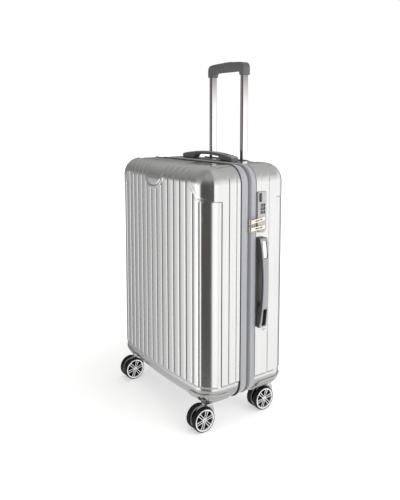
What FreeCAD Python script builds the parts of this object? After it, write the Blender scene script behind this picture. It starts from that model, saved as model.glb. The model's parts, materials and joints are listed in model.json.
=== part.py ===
"""Hard shell suitcase on four twin wheel casters, standing upright with its trolley handle half drawn.

The case is worked out about its own middle: +X is the side with the carry handle and the lock, -Y is the
ribbed front, and Z is up from the floor.  At the end every piece is moved so that the origin lies on the
floor under the middle of the whole object.
"""
import FreeCAD, Part
import math
import os

V = FreeCAD.Vector

# ---------------------------------------------------------------- driving dimensions, mm
case_width = 444.7
case_depth = 266.7
case_bottom = 65.0
case_top = 665.0
front_crown = 9.0             # how far the front bulges at its middle line
crown_half_span = 169.0       # half of the width that the crown rises over
plan_corner = 49.0            # vertical corners, seen from above
edge_round = 47.0             # top and bottom edges
shell_wall = 2.5

zip_y = 1.0                   # plane where the two halves part
front_rim_y = -28.4
back_rim_y = 22.8
piping_width = 3.4
tape_inset = 1.4
tape_thick = 1.2
teeth_width = 3.5
teeth_gap = 0.1
hinge_low, hinge_high = 130.0, 600.0     # stretch of the closed side that has no teeth

rib_pitch = 26.0
rib_count = 14                # grooves on the front
rib_low = 116.0
side_groove_front = (-64.7, -39.0)       # upright grooves on the sides, by half
side_groove_back = (65.5,)
channel_y = (90.5, 99.5)      # shallow upright channel beside each corner column
guard_low = 581.0             # lower edge of the corner guards
guard_inner_x = 142.0
guard_inner_y = 91.0
emblem_half_width = 52.0
emblem_low = 598.0
badge_half_width = 20.0       # small plate on the emblem panel
badge_z = (628.0, 636.0)
groove_depth = 1.2
groove_half_width = 1.8
guard_proud = 1.0             # corner guards and emblem panel stand out by this
pad_proud = 2.2               # caster housings stand out by this
pad_top = 97.0
pad_inner_x = 142.0

lining_inset = 4.0
lining_wall = 1.0
lining_back_y = 82.0
strap_y = 27.0
strap_half_width = 12.5
strap_thick = 1.4
buckle_radius = 24.0

tube_x = 71.6
tube_y = 104.0
tube_run = 0.2                # clearance between telescoping tubes, each side
inner_tube = (13.0, 21.0)     # section, X by Y
tube_wall = 1.0
grip_top = 935.0
grip_leg_low = 896.0
tray_floor = 628.0
tray_rim_proud = 3.0
tray_half = (95.0, 20.0)      # half sizes of the recessed tray, X and Y
button_half = (17.0, 5.5)     # half sizes of the release button in the grip, X and Y

handle_y = 38.0               # both carry handles and the lock keep near this line
handle_length = 232.0
side_handle_z = 365.0
handle_stub = 0.5             # gap under the grip
mount_start, mount_end = 66.0, 110.0     # anchor blocks, along the grip from its middle
mount_half = 6.0
mount_height = 12.6
slot_run = 0.35               # clearance of an anchor block in its slot
screw_radius = 1.6
screw_places = (78.0, 98.0)

lock_low, lock_high = 498.0, 598.0
lock_y0, lock_y1 = 24.0, 53.0
lock_proud = 4.2
lock_inner_x = 204.0          # the lock's case reaches this far into the packing space
dial_radius = 9.0
dial_thick = 6.4
dial_window = 15.8            # window in the lock's face that a dial shows through
dial_z = (563.4, 554.5, 545.6)
dial_shaft_radius = 1.5
shaft_run = 0.05              # radial running clearance of every shaft
dial_y = 40.0
button_x = (217.0, 228.0)     # sliding release button of the lock, its low and high sides
button_y = (29.0, 36.0)
slider_z = (523.0, 505.0)     # heights of the two zip sliders
slider_plate = (222.7, 225.8)
pull_pin = (228.1, 1.5)       # X and Y of the upright pins that the pull tabs turn on
pull_pin_radius = 0.93
pull_half = 4.5
pull_end_y = 46.5

caster_x = 180.0
caster_y = 98.5
caster_trail = 19.4
wheel_radius = 31.0
wheel_width = 13.8
wheel_inner = 5.6             # inner face of a wheel, from the middle of its caster
rim_radius = 25.5
axle_radius = 3.0
pivot_radius = 4.0
pivot_top = 80.0
boss_radius = 11.0            # round boss of the housing that holds the pivot
boss_top = 84.0
hood_half = 10.5              # the fork's hood over the back of the wheels: half width,
hood_clear = 1.5              # distance from the tyres
hood_back = 15.6              # and reach behind the pivot
hood_low = 41.0
spoke_count = 6

# ---------------------------------------------------------------- worked out from them
half_width = case_width / 2
half_depth = case_depth / 2
crown_radius = (crown_half_span ** 2 + front_crown ** 2) / (2 * front_crown)
crown_centre_y = -half_depth - front_crown + crown_radius
corner_x = half_width - plan_corner
front_corner_y = crown_centre_y - math.sqrt((crown_radius - plan_corner) ** 2 - corner_x ** 2)
back_corner_y = half_depth - plan_corner
handle_outer_x = half_width + 24.0
piping_outer_x = half_width + 0.8
wheel_reach_y = caster_y + caster_trail + wheel_radius
dial_x = half_width + lock_proud + 0.7 - dial_radius
middle_tube = tuple(size + 2 * (tube_run + tube_wall) for size in inner_tube)
outer_tube = tuple(size + 2 * (tube_run + tube_wall) for size in middle_tube)
housing_floor = case_bottom - pad_proud
origin_x = (handle_outer_x - piping_outer_x) / 2
origin_y = (half_depth - wheel_reach_y) / 2

pieces = {}


# ---------------------------------------------------------------- small helpers
def box(x0, x1, y0, y1, z0, z1):
    return Part.makeBox(x1 - x0, y1 - y0, z1 - z0, V(x0, y0, z0))


def cylinder(radius, start, axis, length):
    return Part.makeCylinder(radius, length, V(*start), V(*axis))


def line(a, b):
    return Part.makeLine(V(*a), V(*b))


def arc(a, middle, b):
    return Part.Arc(V(*a), V(*middle), V(*b)).toShape()


def prism(edges, along):
    return Part.Face(Part.Wire(edges)).extrude(V(*along))


def polygon_prism(points, along):
    corners = [V(*p) for p in points]
    return Part.Face(Part.makePolygon(corners + corners[:1])).extrude(V(*along))


def mirrored_x(shape):
    return shape.mirror(V(0, 0, 0), V(1, 0, 0))


def softened(solid, radius, choose):
    """Round the edges that the choose function picks."""
    return solid.makeFillet(radius, [e for e in solid.Edges if choose(e)])


def rounded_box(x0, x1, y0, y1, z0, z1, radius, direction):
    """Box with its four edges along one direction rounded."""
    wanted = V(*direction)

    def runs_along(edge):
        step = edge.Vertexes[-1].Point.sub(edge.Vertexes[0].Point)
        return abs(abs(step.dot(wanted)) - step.Length) < 1e-6
    return softened(box(x0, x1, y0, y1, z0, z1), radius, runs_along)


def tube_section(width, depth, z0, z1, x):
    radius = min(width, depth) * 0.35
    y0, y1 = tube_y - depth / 2, tube_y + depth / 2
    return rounded_box(x - width / 2, x + width / 2, y0, y1, z0, z1, radius, (0, 0, 1))


# ---------------------------------------------------------------- the case
def half_block(side, grow=0.0, open_y=None):
    """Solid with the outer form of one half; side is -1 at the front and +1 at the back."""
    if open_y is None:
        open_y = front_rim_y if side < 0 else back_rim_y
    reach = half_width + grow
    corner = plan_corner + grow
    if side < 0:
        middle_y = front_corner_y
        toward = V(corner_x, front_corner_y - crown_centre_y, 0).normalize()
    else:
        middle_y = back_corner_y
        toward = V(0, 1, 0)
    between = V(1, 0, 0).add(toward).normalize()
    z0 = case_bottom - grow
    middle = V(corner_x, middle_y, z0)
    elbow = middle.add(between * corner)
    finish = middle.add(toward * corner)
    right = [line((reach, open_y, z0), (reach, middle_y, z0)),
             arc((reach, middle_y, z0), elbow, finish)]
    if side < 0:
        face = arc(finish, (0, crown_centre_y - crown_radius - grow, z0), (-finish.x, finish.y, z0))
    else:
        face = line(finish, (-finish.x, finish.y, z0))
    left = [arc((-finish.x, finish.y, z0), (-elbow.x, elbow.y, z0), (-reach, middle_y, z0)),
            line((-reach, middle_y, z0), (-reach, open_y, z0))]
    height = case_top - case_bottom + 2 * grow
    block = prism(right + [face] + left + [line((-reach, open_y, z0), (reach, open_y, z0))], (0, 0, height))

    def at_rim(edge):
        box_z = edge.BoundBox
        level = box_z.ZLength < 1e-6
        return level and abs(edge.CenterOfMass.y - open_y) > 1e-3
    return softened(block, edge_round + grow, at_rim)


def hull(side, outer_grow, inner_grow):
    """Skin of one half, between two offsets of its outer form."""
    return half_block(side, outer_grow).cut(half_block(side, inner_grow))


def proud_patch(side, region, height):
    """Patch of skin that stands out from the shell, over a region."""
    return hull(side, height, -shell_wall / 2).common(region)


def guard_region(side):
    """Space over the two top corners, bounded by the curved lower edge of the corner guards."""
    y0 = side * guard_inner_y
    x0, far_x, far_z = guard_inner_x, half_width + 40, case_top + 55
    edges = [line((x0, y0, far_z), (x0, y0, guard_low + 55)),
             arc((x0, y0, guard_low + 55), (x0 + 22, y0, guard_low + 25), (x0 + 56, y0, guard_low)),
             line((x0 + 56, y0, guard_low), (far_x, y0, guard_low)),
             line((far_x, y0, guard_low), (far_x, y0, far_z)),
             line((far_x, y0, far_z), (x0, y0, far_z))]
    right = prism(edges, (0, side * 80, 0))
    return right.fuse(mirrored_x(right))


def v_groove_front(x):
    y = crown_centre_y - math.sqrt(crown_radius ** 2 - x ** 2)
    lip = 1.0
    wide = groove_half_width * (groove_depth + lip) / groove_depth
    return polygon_prism([(x - wide, y - lip, rib_low), (x + wide, y - lip, rib_low),
                          (x, y + groove_depth, rib_low)], (0, 0, case_top - rib_low))


def v_grooves_side(y):
    lip = 1.0
    wide = groove_half_width * (groove_depth + lip) / groove_depth
    right = polygon_prism([(half_width + lip, y - wide, rib_low), (half_width + lip, y + wide, rib_low),
                           (half_width - groove_depth, y, rib_low)], (0, 0, case_top - rib_low))
    return [right, mirrored_x(right)]


def corner_channel(side):
    """Shallow upright channel on each side, next to the rounded corner column."""
    y0, y1 = sorted(side * y for y in channel_y)
    strip = box(180, 240, y0, y1, rib_low, guard_low)
    return hull(side, 1.0, -1.0).common(strip.fuse(mirrored_x(strip)))


def emblem_region():
    """Space over the shield shaped panel at the top of the front."""
    y, top_z, half, low = -120, case_top + 35, emblem_half_width, emblem_low
    edges = [line((-half, y, top_z), (-half, y, low + 54)),
             arc((-half, y, low + 54), (-half + 11, y, low + 26), (-half + 30, y, low + 5)),
             arc((-half + 30, y, low + 5), (0, y, low), (half - 30, y, low + 5)),
             arc((half - 30, y, low + 5), (half - 11, y, low + 26), (half, y, low + 54)),
             line((half, y, low + 54), (half, y, top_z)),
             line((half, y, top_z), (-half, y, top_z))]
    return prism(edges, (0, -40, 0))


def front_shell():
    grooves = []
    for k in range(rib_count):
        grooves.append(v_groove_front((k - (rib_count - 1) / 2) * rib_pitch))
    for y in side_groove_front:
        grooves += v_grooves_side(y)
    shell = hull(-1, 0, -shell_wall).cut(grooves).cut(corner_channel(-1))
    shell = shell.fuse(proud_patch(-1, guard_region(-1), guard_proud))
    shell = shell.fuse(proud_patch(-1, emblem_region(), guard_proud))
    for x in (-caster_x, caster_x):
        shell = shell.cut(cylinder(boss_radius + 0.2, (x, -caster_y, 40), (0, 0, 1), 80))
    return shell


def back_shell():
    grooves = [groove for y in side_groove_back for groove in v_grooves_side(y)]
    shell = hull(1, 0, -shell_wall).cut(grooves).cut(corner_channel(1))
    shell = shell.fuse(proud_patch(1, guard_region(1), guard_proud))
    for x in (-caster_x, caster_x):
        shell = shell.cut(cylinder(boss_radius + 0.2, (x, caster_y, 40), (0, 0, 1), 80))
    tray_gap = rounded_box(-tray_half[0] - 0.2, tray_half[0] + 0.2, tube_y - tray_half[1] - 0.2,
                           tube_y + tray_half[1] + 0.2, tray_floor - 6.2, 720, 12.2, (0, 0, 1))
    lock_gap = box(200, 240, lock_y0 + 2.3, lock_y1 - 2.3, lock_low + 2.8, lock_high - 2.8)
    shell = shell.cut([tray_gap, lock_gap])
    return shell.cut([screw_hole for screw_hole in handle_screws(screw_radius + 0.1, False)])


def rim_band(y0, y1, inset, thick):
    """Closed band that follows the rim of the case, between two Y planes."""
    def slab(cut_in):
        reach = half_width - cut_in
        return rounded_box(-reach, reach, y0, y1, case_bottom + cut_in, case_top - cut_in,
                           edge_round - cut_in, (0, 1, 0))
    return slab(inset).cut(slab(inset + thick))


def zip_teeth(y0, y1):
    """Row of teeth as a low rib on its tape; the closed side of the case has none."""
    ring = rim_band(y0, y1, tape_inset - 1.2, 1.15)
    return ring.cut(box(-260, -150, y0 - 1, y1 + 1, hinge_low, hinge_high))


def add_zip():
    pieces["front_piping"] = rim_band(front_rim_y + 0.1, front_rim_y + 0.1 + piping_width, -0.8, 3.4)
    tape_start = front_rim_y + piping_width + 0.2
    pieces["front_zip_tape"] = rim_band(tape_start, zip_y - 0.3, tape_inset, tape_thick)
    pieces["back_zip_tape"] = rim_band(zip_y + 0.3, back_rim_y - 0.1, tape_inset, tape_thick)
    pieces["front_zip_teeth"] = zip_teeth(zip_y - teeth_gap - teeth_width, zip_y - teeth_gap)
    pieces["back_zip_teeth"] = zip_teeth(zip_y + teeth_gap, zip_y + teeth_gap + teeth_width)
    gusset_x = -(half_width - tape_inset - tape_thick)
    pieces["hinge_gusset"] = box(gusset_x + 0.1, gusset_x + 1.1, zip_y - 6, zip_y + 12,
                                 hinge_low + 2, hinge_high - 2)


# ---------------------------------------------------------------- sliders and pull tabs of the zip


def zip_slider(z):
    y = pull_pin[1]
    x0, x1 = slider_plate
    plate = rounded_box(x0, x1, y - 4.2, y + 4.2, z - 7.5, z + 7.5, 2.5, (1, 0, 0))
    ear_low, ear_high = pull_half + 0.35, pull_half + 2.2
    solid = plate
    for z0, z1 in ((z + ear_low, z + ear_high), (z - ear_high, z - ear_low)):
        solid = solid.fuse(box(slider_plate[1] - 0.5, pull_pin[0] + 1.5, y - 1.7, y + 1.7, z0, z1))
    pin = cylinder(pull_pin_radius, (pull_pin[0], y, z - ear_high), (0, 0, 1), 2 * ear_high)
    return solid.fuse(pin)


def pull_tab(z, rounded_end):
    """Pull tab lying across the foot of the lock, with its barrel round the pin of the slider."""
    x, y = pull_pin
    radius = 4.4 if rounded_end else 1.5
    plate = box(x - 0.9, x + 0.9, y, pull_end_y, z - pull_half, z + pull_half)
    plate = softened(plate, radius, lambda e: abs(e.CenterOfMass.y - pull_end_y) < 1e-6
                     and e.BoundBox.XLength > 1.5)
    eye = cylinder(1.9, (x, y, z - pull_half), (0, 0, 1), 2 * pull_half)
    window = rounded_box(x - 2, x + 2, 14, 38, z - 1.6, z + 1.6, 1.5, (1, 0, 0))
    bore = cylinder(pull_pin_radius + 0.07, (x, y, z - 10), (0, 0, 1), 20)
    return plate.fuse(eye).cut([bore, window])


# ---------------------------------------------------------------- inside of the case
def lining(side, far_y):
    """Thin fabric tub inside one half, open towards the zip."""
    outer = half_block(side, -lining_inset)
    inner = half_block(side, -lining_inset - lining_wall)
    if far_y is not None:
        outer = outer.common(box(-300, 300, 0, far_y, 0, 800))
        inner = inner.common(box(-300, 300, 0, far_y - lining_wall, 0, 800))
    tub = outer.cut(inner)
    for x in (-caster_x, caster_x):
        tub = tub.cut(cylinder(boss_radius + 1.5, (x, side * caster_y, 40), (0, 0, 1), boss_top - 36))
    if side > 0:
        tub = tub.cut(box(lock_inner_x - 4, 240, lock_y0 + 1.5, lock_y1 - 1.5, lock_low + 2, lock_high - 2))
    return tub


def divider_panel():
    reach = half_width - 12
    return rounded_box(-reach, reach, front_rim_y - 4.4, front_rim_y - 2.4, case_bottom + 12, case_top - 12,
                       edge_round - 12, (0, 1, 0))


def packing_straps():
    """Four runs of webbing, from the corners of the back half to the buckle in its middle."""
    middle_z = (case_bottom + case_top) / 2
    corner = V(half_width - 26, 0, case_top - 26 - middle_z)
    angle = math.degrees(math.atan2(corner.z, corner.x))
    runs = []
    for turn in (angle, 180 - angle, 180 + angle, -angle):
        run = box(buckle_radius + 0.2, corner.Length - 12, strap_y, strap_y + strap_thick,
                  -strap_half_width, strap_half_width)
        run.rotate(V(0, 0, 0), V(0, 1, 0), -turn)
        run.translate(V(0, 0, middle_z))
        runs.append(run)
    return Part.makeCompound(runs)


def strap_buckle():
    middle_z = (case_bottom + case_top) / 2
    return cylinder(buckle_radius, (0, strap_y - 3, middle_z), (0, 1, 0), 7)


# ---------------------------------------------------------------- trolley handle


def tube_pair(section, z0, z1):
    solids = []
    for x in (-tube_x, tube_x):
        hollow = tube_section(section[0] - 2 * tube_wall, section[1] - 2 * tube_wall, z0 - 1, z1 + 1, x)
        solids.append(tube_section(section[0], section[1], z0, z1, x).cut(hollow))
    return Part.makeCompound(solids)


def trolley_tray():
    """Recessed tray in the top of the back shell, whose rim follows the rounding of the case."""
    y0, y1 = tube_y - tray_half[1], tube_y + tray_half[1]
    block = rounded_box(-tray_half[0], tray_half[0], y0, y1, tray_floor - 6, 720, 12, (0, 0, 1))
    pocket = rounded_box(-tray_half[0] + 5, tray_half[0] - 5, y0 + 4, y1 - 4, tray_floor, 740, 9, (0, 0, 1))
    tray = block.common(half_block(1, tray_rim_proud)).cut(pocket)
    for x in (-tube_x, tube_x):
        tray = tray.cut(tube_section(middle_tube[0] + 0.4, middle_tube[1] + 0.4, 600, 640, x))
    return tray


def foot_bracket():
    bar = rounded_box(-88, 88, tube_y - 14, tube_y + 14, 83, 94, 6, (0, 0, 1))
    for x in (-tube_x, tube_x):
        bar = bar.fuse(tube_section(outer_tube[0] + 5, outer_tube[1] + 1.6, 84, 104, x))
        bar = bar.cut(tube_section(outer_tube[0], outer_tube[1], 90, 110, x))
    return bar


def trolley_grip():
    reach = tube_x + 11
    y0, y1 = tube_y - 13, tube_y + 13
    arch = [line((-reach, y0, 914), (-reach, y0, 926)),
            arc((-reach, y0, 926), (-reach + 2.6, y0, 931.4), (-reach + 9, y0, 933)),
            arc((-reach + 9, y0, 933), (0, y0, grip_top), (reach - 9, y0, 933)),
            arc((reach - 9, y0, 933), (reach - 2.6, y0, 931.4), (reach, y0, 926)),
            line((reach, y0, 926), (reach, y0, 914)),
            line((reach, y0, 914), (reach - 6, y0, 908)),
            line((reach - 6, y0, 908), (-reach + 6, y0, 908)),
            line((-reach + 6, y0, 908), (-reach, y0, 914))]
    bar = prism(arch, (0, y1 - y0, 0))
    for x in (-tube_x, tube_x):
        leg = rounded_box(x - 9.5, x + 9.5, tube_y - 12.6, tube_y + 12.6, grip_leg_low, 912, 4, (0, 0, 1))
        bar = bar.fuse(leg)
        bar = bar.cut(tube_section(inner_tube[0], inner_tube[1], 880, 922, x))
    slot = rounded_box(-button_half[0] - 0.3, button_half[0] + 0.3, tube_y - button_half[1] - 0.3,
                       tube_y + button_half[1] + 0.3, grip_top - 12, 950, 5.5, (0, 0, 1))
    return bar.cut(slot)


def grip_button():
    return rounded_box(-button_half[0], button_half[0], tube_y - button_half[1], tube_y + button_half[1],
                       grip_top - 7, grip_top + 1.5, 5.2, (0, 0, 1))


# ---------------------------------------------------------------- carry handles


def carry_grip():
    """Waisted, arched grip; its length is along X, its width along Y and it stands up in Z."""
    end = handle_length / 2
    low = handle_stub
    side_view = [line((-end, -20, low), (-end, -20, 11)),
                 arc((-end, -20, 11), (-end + 1.5, -20, 13.6), (-end + 5, -20, 14.8)),
                 arc((-end + 5, -20, 14.8), (0, -20, 24), (end - 5, -20, 14.8)),
                 arc((end - 5, -20, 14.8), (end - 1.5, -20, 13.6), (end, -20, 11)),
                 line((end, -20, 11), (end, -20, low)),
                 line((end, -20, low), (64, -20, low)),
                 arc((64, -20, low), (58, -20, 9), (48, -20, 12)),
                 arc((48, -20, 12), (0, -20, 14.6), (-48, -20, 12)),
                 arc((-48, -20, 12), (-58, -20, 9), (-64, -20, low)),
                 line((-64, -20, low), (-end, -20, low))]
    top_view = [arc((-end - 1, -13.3, -1), (0, -9.0, -1), (end + 1, -13.3, -1)),
                line((end + 1, -13.3, -1), (end + 1, 13.3, -1)),
                arc((end + 1, 13.3, -1), (0, 9.0, -1), (-end - 1, 13.3, -1)),
                line((-end - 1, 13.3, -1), (-end - 1, -13.3, -1))]
    grip = prism(side_view, (0, 40, 0)).common(prism(top_view, (0, 0, 40)))
    for side in (-1, 1):
        x0, x1 = sorted((side * (mount_start - slot_run), side * (mount_end + slot_run)))
        grip = grip.cut(box(x0, x1, -mount_half - slot_run, mount_half + slot_run, -1, 40))
    return grip


def mount_blocks():
    """The two anchor blocks of one carry handle, in the same place as its grip."""
    blocks = []
    for side in (-1, 1):
        x0, x1 = sorted((side * mount_start, side * mount_end))
        block = box(x0, x1, -mount_half, mount_half, 0.1, mount_height)
        block = softened(block, 1.2, lambda e: abs(e.CenterOfMass.z - mount_height) < 1e-6)
        for place in screw_places:
            block = block.cut(cylinder(screw_radius, (side * place, 0, -1), (0, 0, 1), 10))
        blocks.append(block)
    return blocks


def screws(radius, with_head):
    made = []
    for side in (-1, 1):
        for place in screw_places:
            x = side * place
            shank = cylinder(radius, (x, 0, -shell_wall - 1), (0, 0, 1), shell_wall + 9.5)
            if with_head:
                head = cylinder(3.2, (x, 0, -shell_wall - 1.2), (0, 0, 1), 1.2)
                shank = cylinder(radius, (x, 0, -shell_wall - 0.1), (0, 0, 1), shell_wall + 8).fuse(head)
            made.append(shank)
    return made


def onto_top(shape):
    return shape.translated(V(0, handle_y, case_top))


def onto_side(shape):
    """Stand a handle part up, so that its length is along Z and its top faces +X."""
    turned = shape.copy()
    turned.rotate(V(0, 0, 0), V(0, 1, 0), 90)
    return turned.translated(V(half_width, handle_y, side_handle_z))


def handle_screws(radius, with_head):
    loose = screws(radius, with_head)
    return [onto_top(s) for s in loose] + [onto_side(s) for s in loose]


# ---------------------------------------------------------------- combination lock
def lock_body():
    face = half_width + lock_proud
    flange = rounded_box(half_width + 0.05, face, lock_y0, lock_y1, lock_low, lock_high, 4, (1, 0, 0))
    flange = softened(flange, 1.2, lambda e: abs(e.CenterOfMass.x - face) < 1e-6)
    case = box(lock_inner_x, half_width + 1, lock_y0 + 2.5, lock_y1 - 2.5, lock_low + 3, lock_high - 3)
    body = flange.fuse(case)
    x0, x1 = dial_x - dial_radius - 1, dial_x + 1
    y0, y1 = dial_y - dial_radius - 0.5, dial_y + dial_radius + 0.5
    reach = dial_thick / 2 + 0.4
    cuts = [box(x0, x1, y0, y1, z - reach, z + reach) for z in dial_z]
    window = dial_window / 2
    cuts += [box(dial_x, 240, dial_y - window, dial_y + window, z - reach, z + reach) for z in dial_z]
    cuts.append(box(dial_x - 1, half_width + 1, y0, y1, dial_z[2] - reach, dial_z[0] + reach))
    cuts.append(box(button_x[0] - 0.4, 240, button_y[0] - 0.4, button_y[1] + 0.4, 572, 594.3))
    cuts.append(cylinder(4.02, (208, 43.8, 583), (1, 0, 0), 40))
    shaft_foot = (dial_x, dial_y, dial_z[2] - 6)
    shaft = cylinder(dial_shaft_radius, shaft_foot, (0, 0, 1), dial_z[0] - dial_z[2] + 12)
    return body.cut(cuts).fuse(shaft)


def dial(z):
    wheel = cylinder(dial_radius, (dial_x, dial_y, z - dial_thick / 2), (0, 0, 1), dial_thick)
    notches = []
    for k in range(10):
        turn = math.radians(36 * k + 18)
        notches.append(cylinder(0.9, (dial_x + (dial_radius + 0.3) * math.cos(turn),
                                      dial_y + (dial_radius + 0.3) * math.sin(turn), z - 5), (0, 0, 1), 10))
    bore = cylinder(dial_shaft_radius + shaft_run, (dial_x, dial_y, z - 5), (0, 0, 1), 10)
    return wheel.cut(notches + [bore])


def lock_button():
    slab = box(button_x[0], button_x[1], button_y[0], button_y[1], 576.8, 594.0)
    return softened(slab, 1.0, lambda e: abs(e.CenterOfMass.x - button_x[1]) < 1e-6)


def key_cylinder():
    plug = cylinder(4.0, (208.5, 43.8, 583), (1, 0, 0), half_width + lock_proud - 208.5 + 0.6)
    return plug.cut(box(222, 240, 43.2, 44.4, 580.6, 585.4))


# ---------------------------------------------------------------- casters
def caster_housing(x_side, y_side):
    """Corner housing: a skin over the corner of the shell, and the boss that holds the pivot."""
    y_inner = 51.0 if y_side < 0 else 32.0
    y0, y1 = sorted((y_side * y_inner, y_side * 170))
    x0, x1 = sorted((x_side * pad_inner_x, x_side * 260))
    corner = box(x0, x1, y0, y1, 30, pad_top)
    skin = hull(y_side, pad_proud, 0.1).common(corner)
    pivot = (x_side * caster_x, y_side * caster_y)
    boss = cylinder(boss_radius, (pivot[0], pivot[1], housing_floor), (0, 0, 1), boss_top - housing_floor)
    bore = cylinder(pivot_radius + shaft_run, (pivot[0], pivot[1], 40), (0, 0, 1), pivot_top + 0.4 - 40)
    return skin.fuse(boss).cut(bore)


def fork_hood(top):
    """Hood of the fork, which follows the tyres down behind the pivot."""
    clear = wheel_radius + hood_clear

    def under(turn):
        angle = math.radians(turn)
        return (-hood_half, -caster_trail + clear * math.cos(angle), wheel_radius + clear * math.sin(angle))

    start, end = under(74), under(18)
    back_low = (-hood_half, hood_back - 1, hood_low)
    back_mid = (-hood_half, hood_back, (hood_low + top) / 2)
    back_top = (-hood_half, hood_back - 5, top)
    head = (-hood_half, start[1], top)
    edges = [arc(start, under(46), end),
             line(end, back_low),
             arc(back_low, back_mid, back_top),
             line(back_top, head),
             line(head, start)]
    return prism(edges, (2 * hood_half, 0, 0))


def caster_fork():
    """Swivel fork between its two wheels; the pivot is at the origin and the axle trails towards -Y."""
    half = wheel_inner - 0.5
    z_axle = wheel_radius
    nose = 7.5
    top = housing_floor - 0.4
    web = [line((-half, nose, top), (-half, -16, top)),
           arc((-half, -16, top), (-half, -28.5, 54), (-half, -caster_trail - 12, z_axle)),
           arc((-half, -caster_trail - 12, z_axle), (-half, -caster_trail, z_axle - 12),
               (-half, -caster_trail + 10, z_axle - 6.6)),
           line((-half, -caster_trail + 10, z_axle - 6.6), (-half, nose, 46)),
           line((-half, nose, 46), (-half, nose, top))]
    fork = prism(web, (2 * half, 0, 0)).fuse(fork_hood(top))
    fork = fork.fuse(cylinder(pivot_radius, (0, 0, 50), (0, 0, 1), pivot_top - 50))
    bore = cylinder(axle_radius, (-10, -caster_trail, z_axle), (1, 0, 0), 20)
    return fork.cut(bore)


def caster_axle():
    reach = wheel_inner + wheel_width - 2.5
    return cylinder(axle_radius, (-reach, -caster_trail, wheel_radius), (1, 0, 0), 2 * reach)


def turned_ring(profile):
    """Ring about the X axis from a closed outline of (x, radius) points."""
    points = [V(x, 0, r) for x, r in profile]
    face = Part.Face(Part.makePolygon(points + points[:1]))
    return face.revolve(V(0, 0, 0), V(1, 0, 0), 360)


def wheel_tyre():
    """Tyre of the wheel on the +X side, about the X axis."""
    x0, x1 = wheel_inner, wheel_inner + wheel_width
    shoulder = 3.0
    edge = 1.1
    return turned_ring([(x0, rim_radius), (x0, wheel_radius - shoulder), (x0 + edge, wheel_radius - edge),
                        (x0 + shoulder, wheel_radius), (x1 - shoulder, wheel_radius),
                        (x1 - edge, wheel_radius - edge), (x1, wheel_radius - shoulder), (x1, rim_radius)])


def wheel_rim():
    """Rim of the wheel on the +X side: a dished disc with a window between each pair of spokes."""
    x0, x1 = wheel_inner + 0.3, wheel_inner + wheel_width - 0.6
    web = x1 - 2.4
    bore = axle_radius + shaft_run
    rim = turned_ring([(x0, bore), (x0, rim_radius), (x1, rim_radius), (x1, rim_radius - 3),
                       (web, rim_radius - 3.4), (web, 7.5), (x1 + 0.4, 6.5), (x1 + 0.4, bore)])
    windows = []
    for k in range(spoke_count):
        turn = 360 / spoke_count * k
        window = polygon_prism([(web - 3, -1.6, 10.5), (web - 3, 1.6, 10.5), (web - 3, 6.6, 20.8),
                                (web - 3, -6.6, 20.8)], (6, 0, 0))
        window.rotate(V(0, 0, 0), V(1, 0, 0), turn)
        windows.append(window)
    return rim.cut(windows)


def add_casters():
    fork, axle, tyre, rim = caster_fork(), caster_axle(), wheel_tyre(), wheel_rim()
    hub = V(0, -caster_trail, wheel_radius)
    for y_side, end in ((-1, "front"), (1, "rear")):
        housings = [caster_housing(x_side, y_side) for x_side in (-1, 1)]
        pieces[end + "_caster_housings"] = Part.makeCompound(housings)
        for x_side, hand in ((-1, "left"), (1, "right")):
            place = V(x_side * caster_x, y_side * caster_y, 0)
            name = end + "_" + hand
            pieces[name + "_fork"] = fork.translated(place)
            pieces[name + "_axle"] = axle.translated(place)
            for half, wheel in (("inner", -x_side), ("outer", x_side)):
                for kind, solid in (("tyre", tyre), ("rim", rim)):
                    shape = solid if wheel > 0 else mirrored_x(solid)
                    pieces[name + "_" + half + "_" + kind] = shape.translated(place.add(hub))


# ---------------------------------------------------------------- all together
def add_case():
    pieces["front_shell"] = front_shell()
    pieces["back_shell"] = back_shell()
    half, (low, high) = badge_half_width, badge_z
    badge = rounded_box(-half, half, -160, -100, low, high, 3, (0, 1, 0))
    pieces["emblem_plate"] = hull(-1, guard_proud + 1.4, guard_proud + 0.1).common(badge)
    pieces["front_lining"] = lining(-1, None)
    pieces["back_lining"] = lining(1, lining_back_y)
    pieces["divider_panel"] = divider_panel()
    pieces["packing_straps"] = packing_straps()
    pieces["strap_buckle"] = strap_buckle()


def add_hardware():
    sliders = [zip_slider(z) for z in slider_z]
    pieces["zip_sliders"] = Part.makeCompound(sliders)
    pieces["upper_pull_tab"] = pull_tab(slider_z[0], False)
    pieces["lower_pull_tab"] = pull_tab(slider_z[1], True)
    pieces["lock_body"] = lock_body()
    pieces["lock_button"] = lock_button()
    pieces["key_cylinder"] = key_cylinder()
    for place, z in zip(("top", "middle", "bottom"), dial_z):
        pieces["dial_" + place] = dial(z)
    grip = carry_grip()
    blocks = mount_blocks()
    pieces["top_handle_grip"] = onto_top(grip)
    pieces["side_handle_grip"] = onto_side(grip)
    placed = [onto_top(block) for block in blocks] + [onto_side(block) for block in blocks]
    pieces["handle_mounts"] = Part.makeCompound(placed)
    pieces["handle_screws"] = Part.makeCompound(handle_screws(screw_radius, True))


def add_trolley():
    pieces["trolley_tray"] = trolley_tray()
    pieces["trolley_foot"] = foot_bracket()
    pieces["trolley_outer_tubes"] = tube_pair(outer_tube, 90, tray_floor - 6.1)
    pieces["trolley_middle_tubes"] = tube_pair(middle_tube, 200, tray_floor + 1)
    pieces["trolley_inner_tubes"] = tube_pair(inner_tube, 530, 922)
    pieces["trolley_grip"] = trolley_grip()
    pieces["grip_button"] = grip_button()


add_case()
add_zip()
add_hardware()
add_trolley()
add_casters()

os.makedirs("parts", exist_ok=True)
shift = V(-origin_x, -origin_y, 0)
for name, shape in pieces.items():
    shape.translated(shift).exportStep("parts/" + name + ".step")
print("pieces", len(pieces), "shift", shift)
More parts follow.
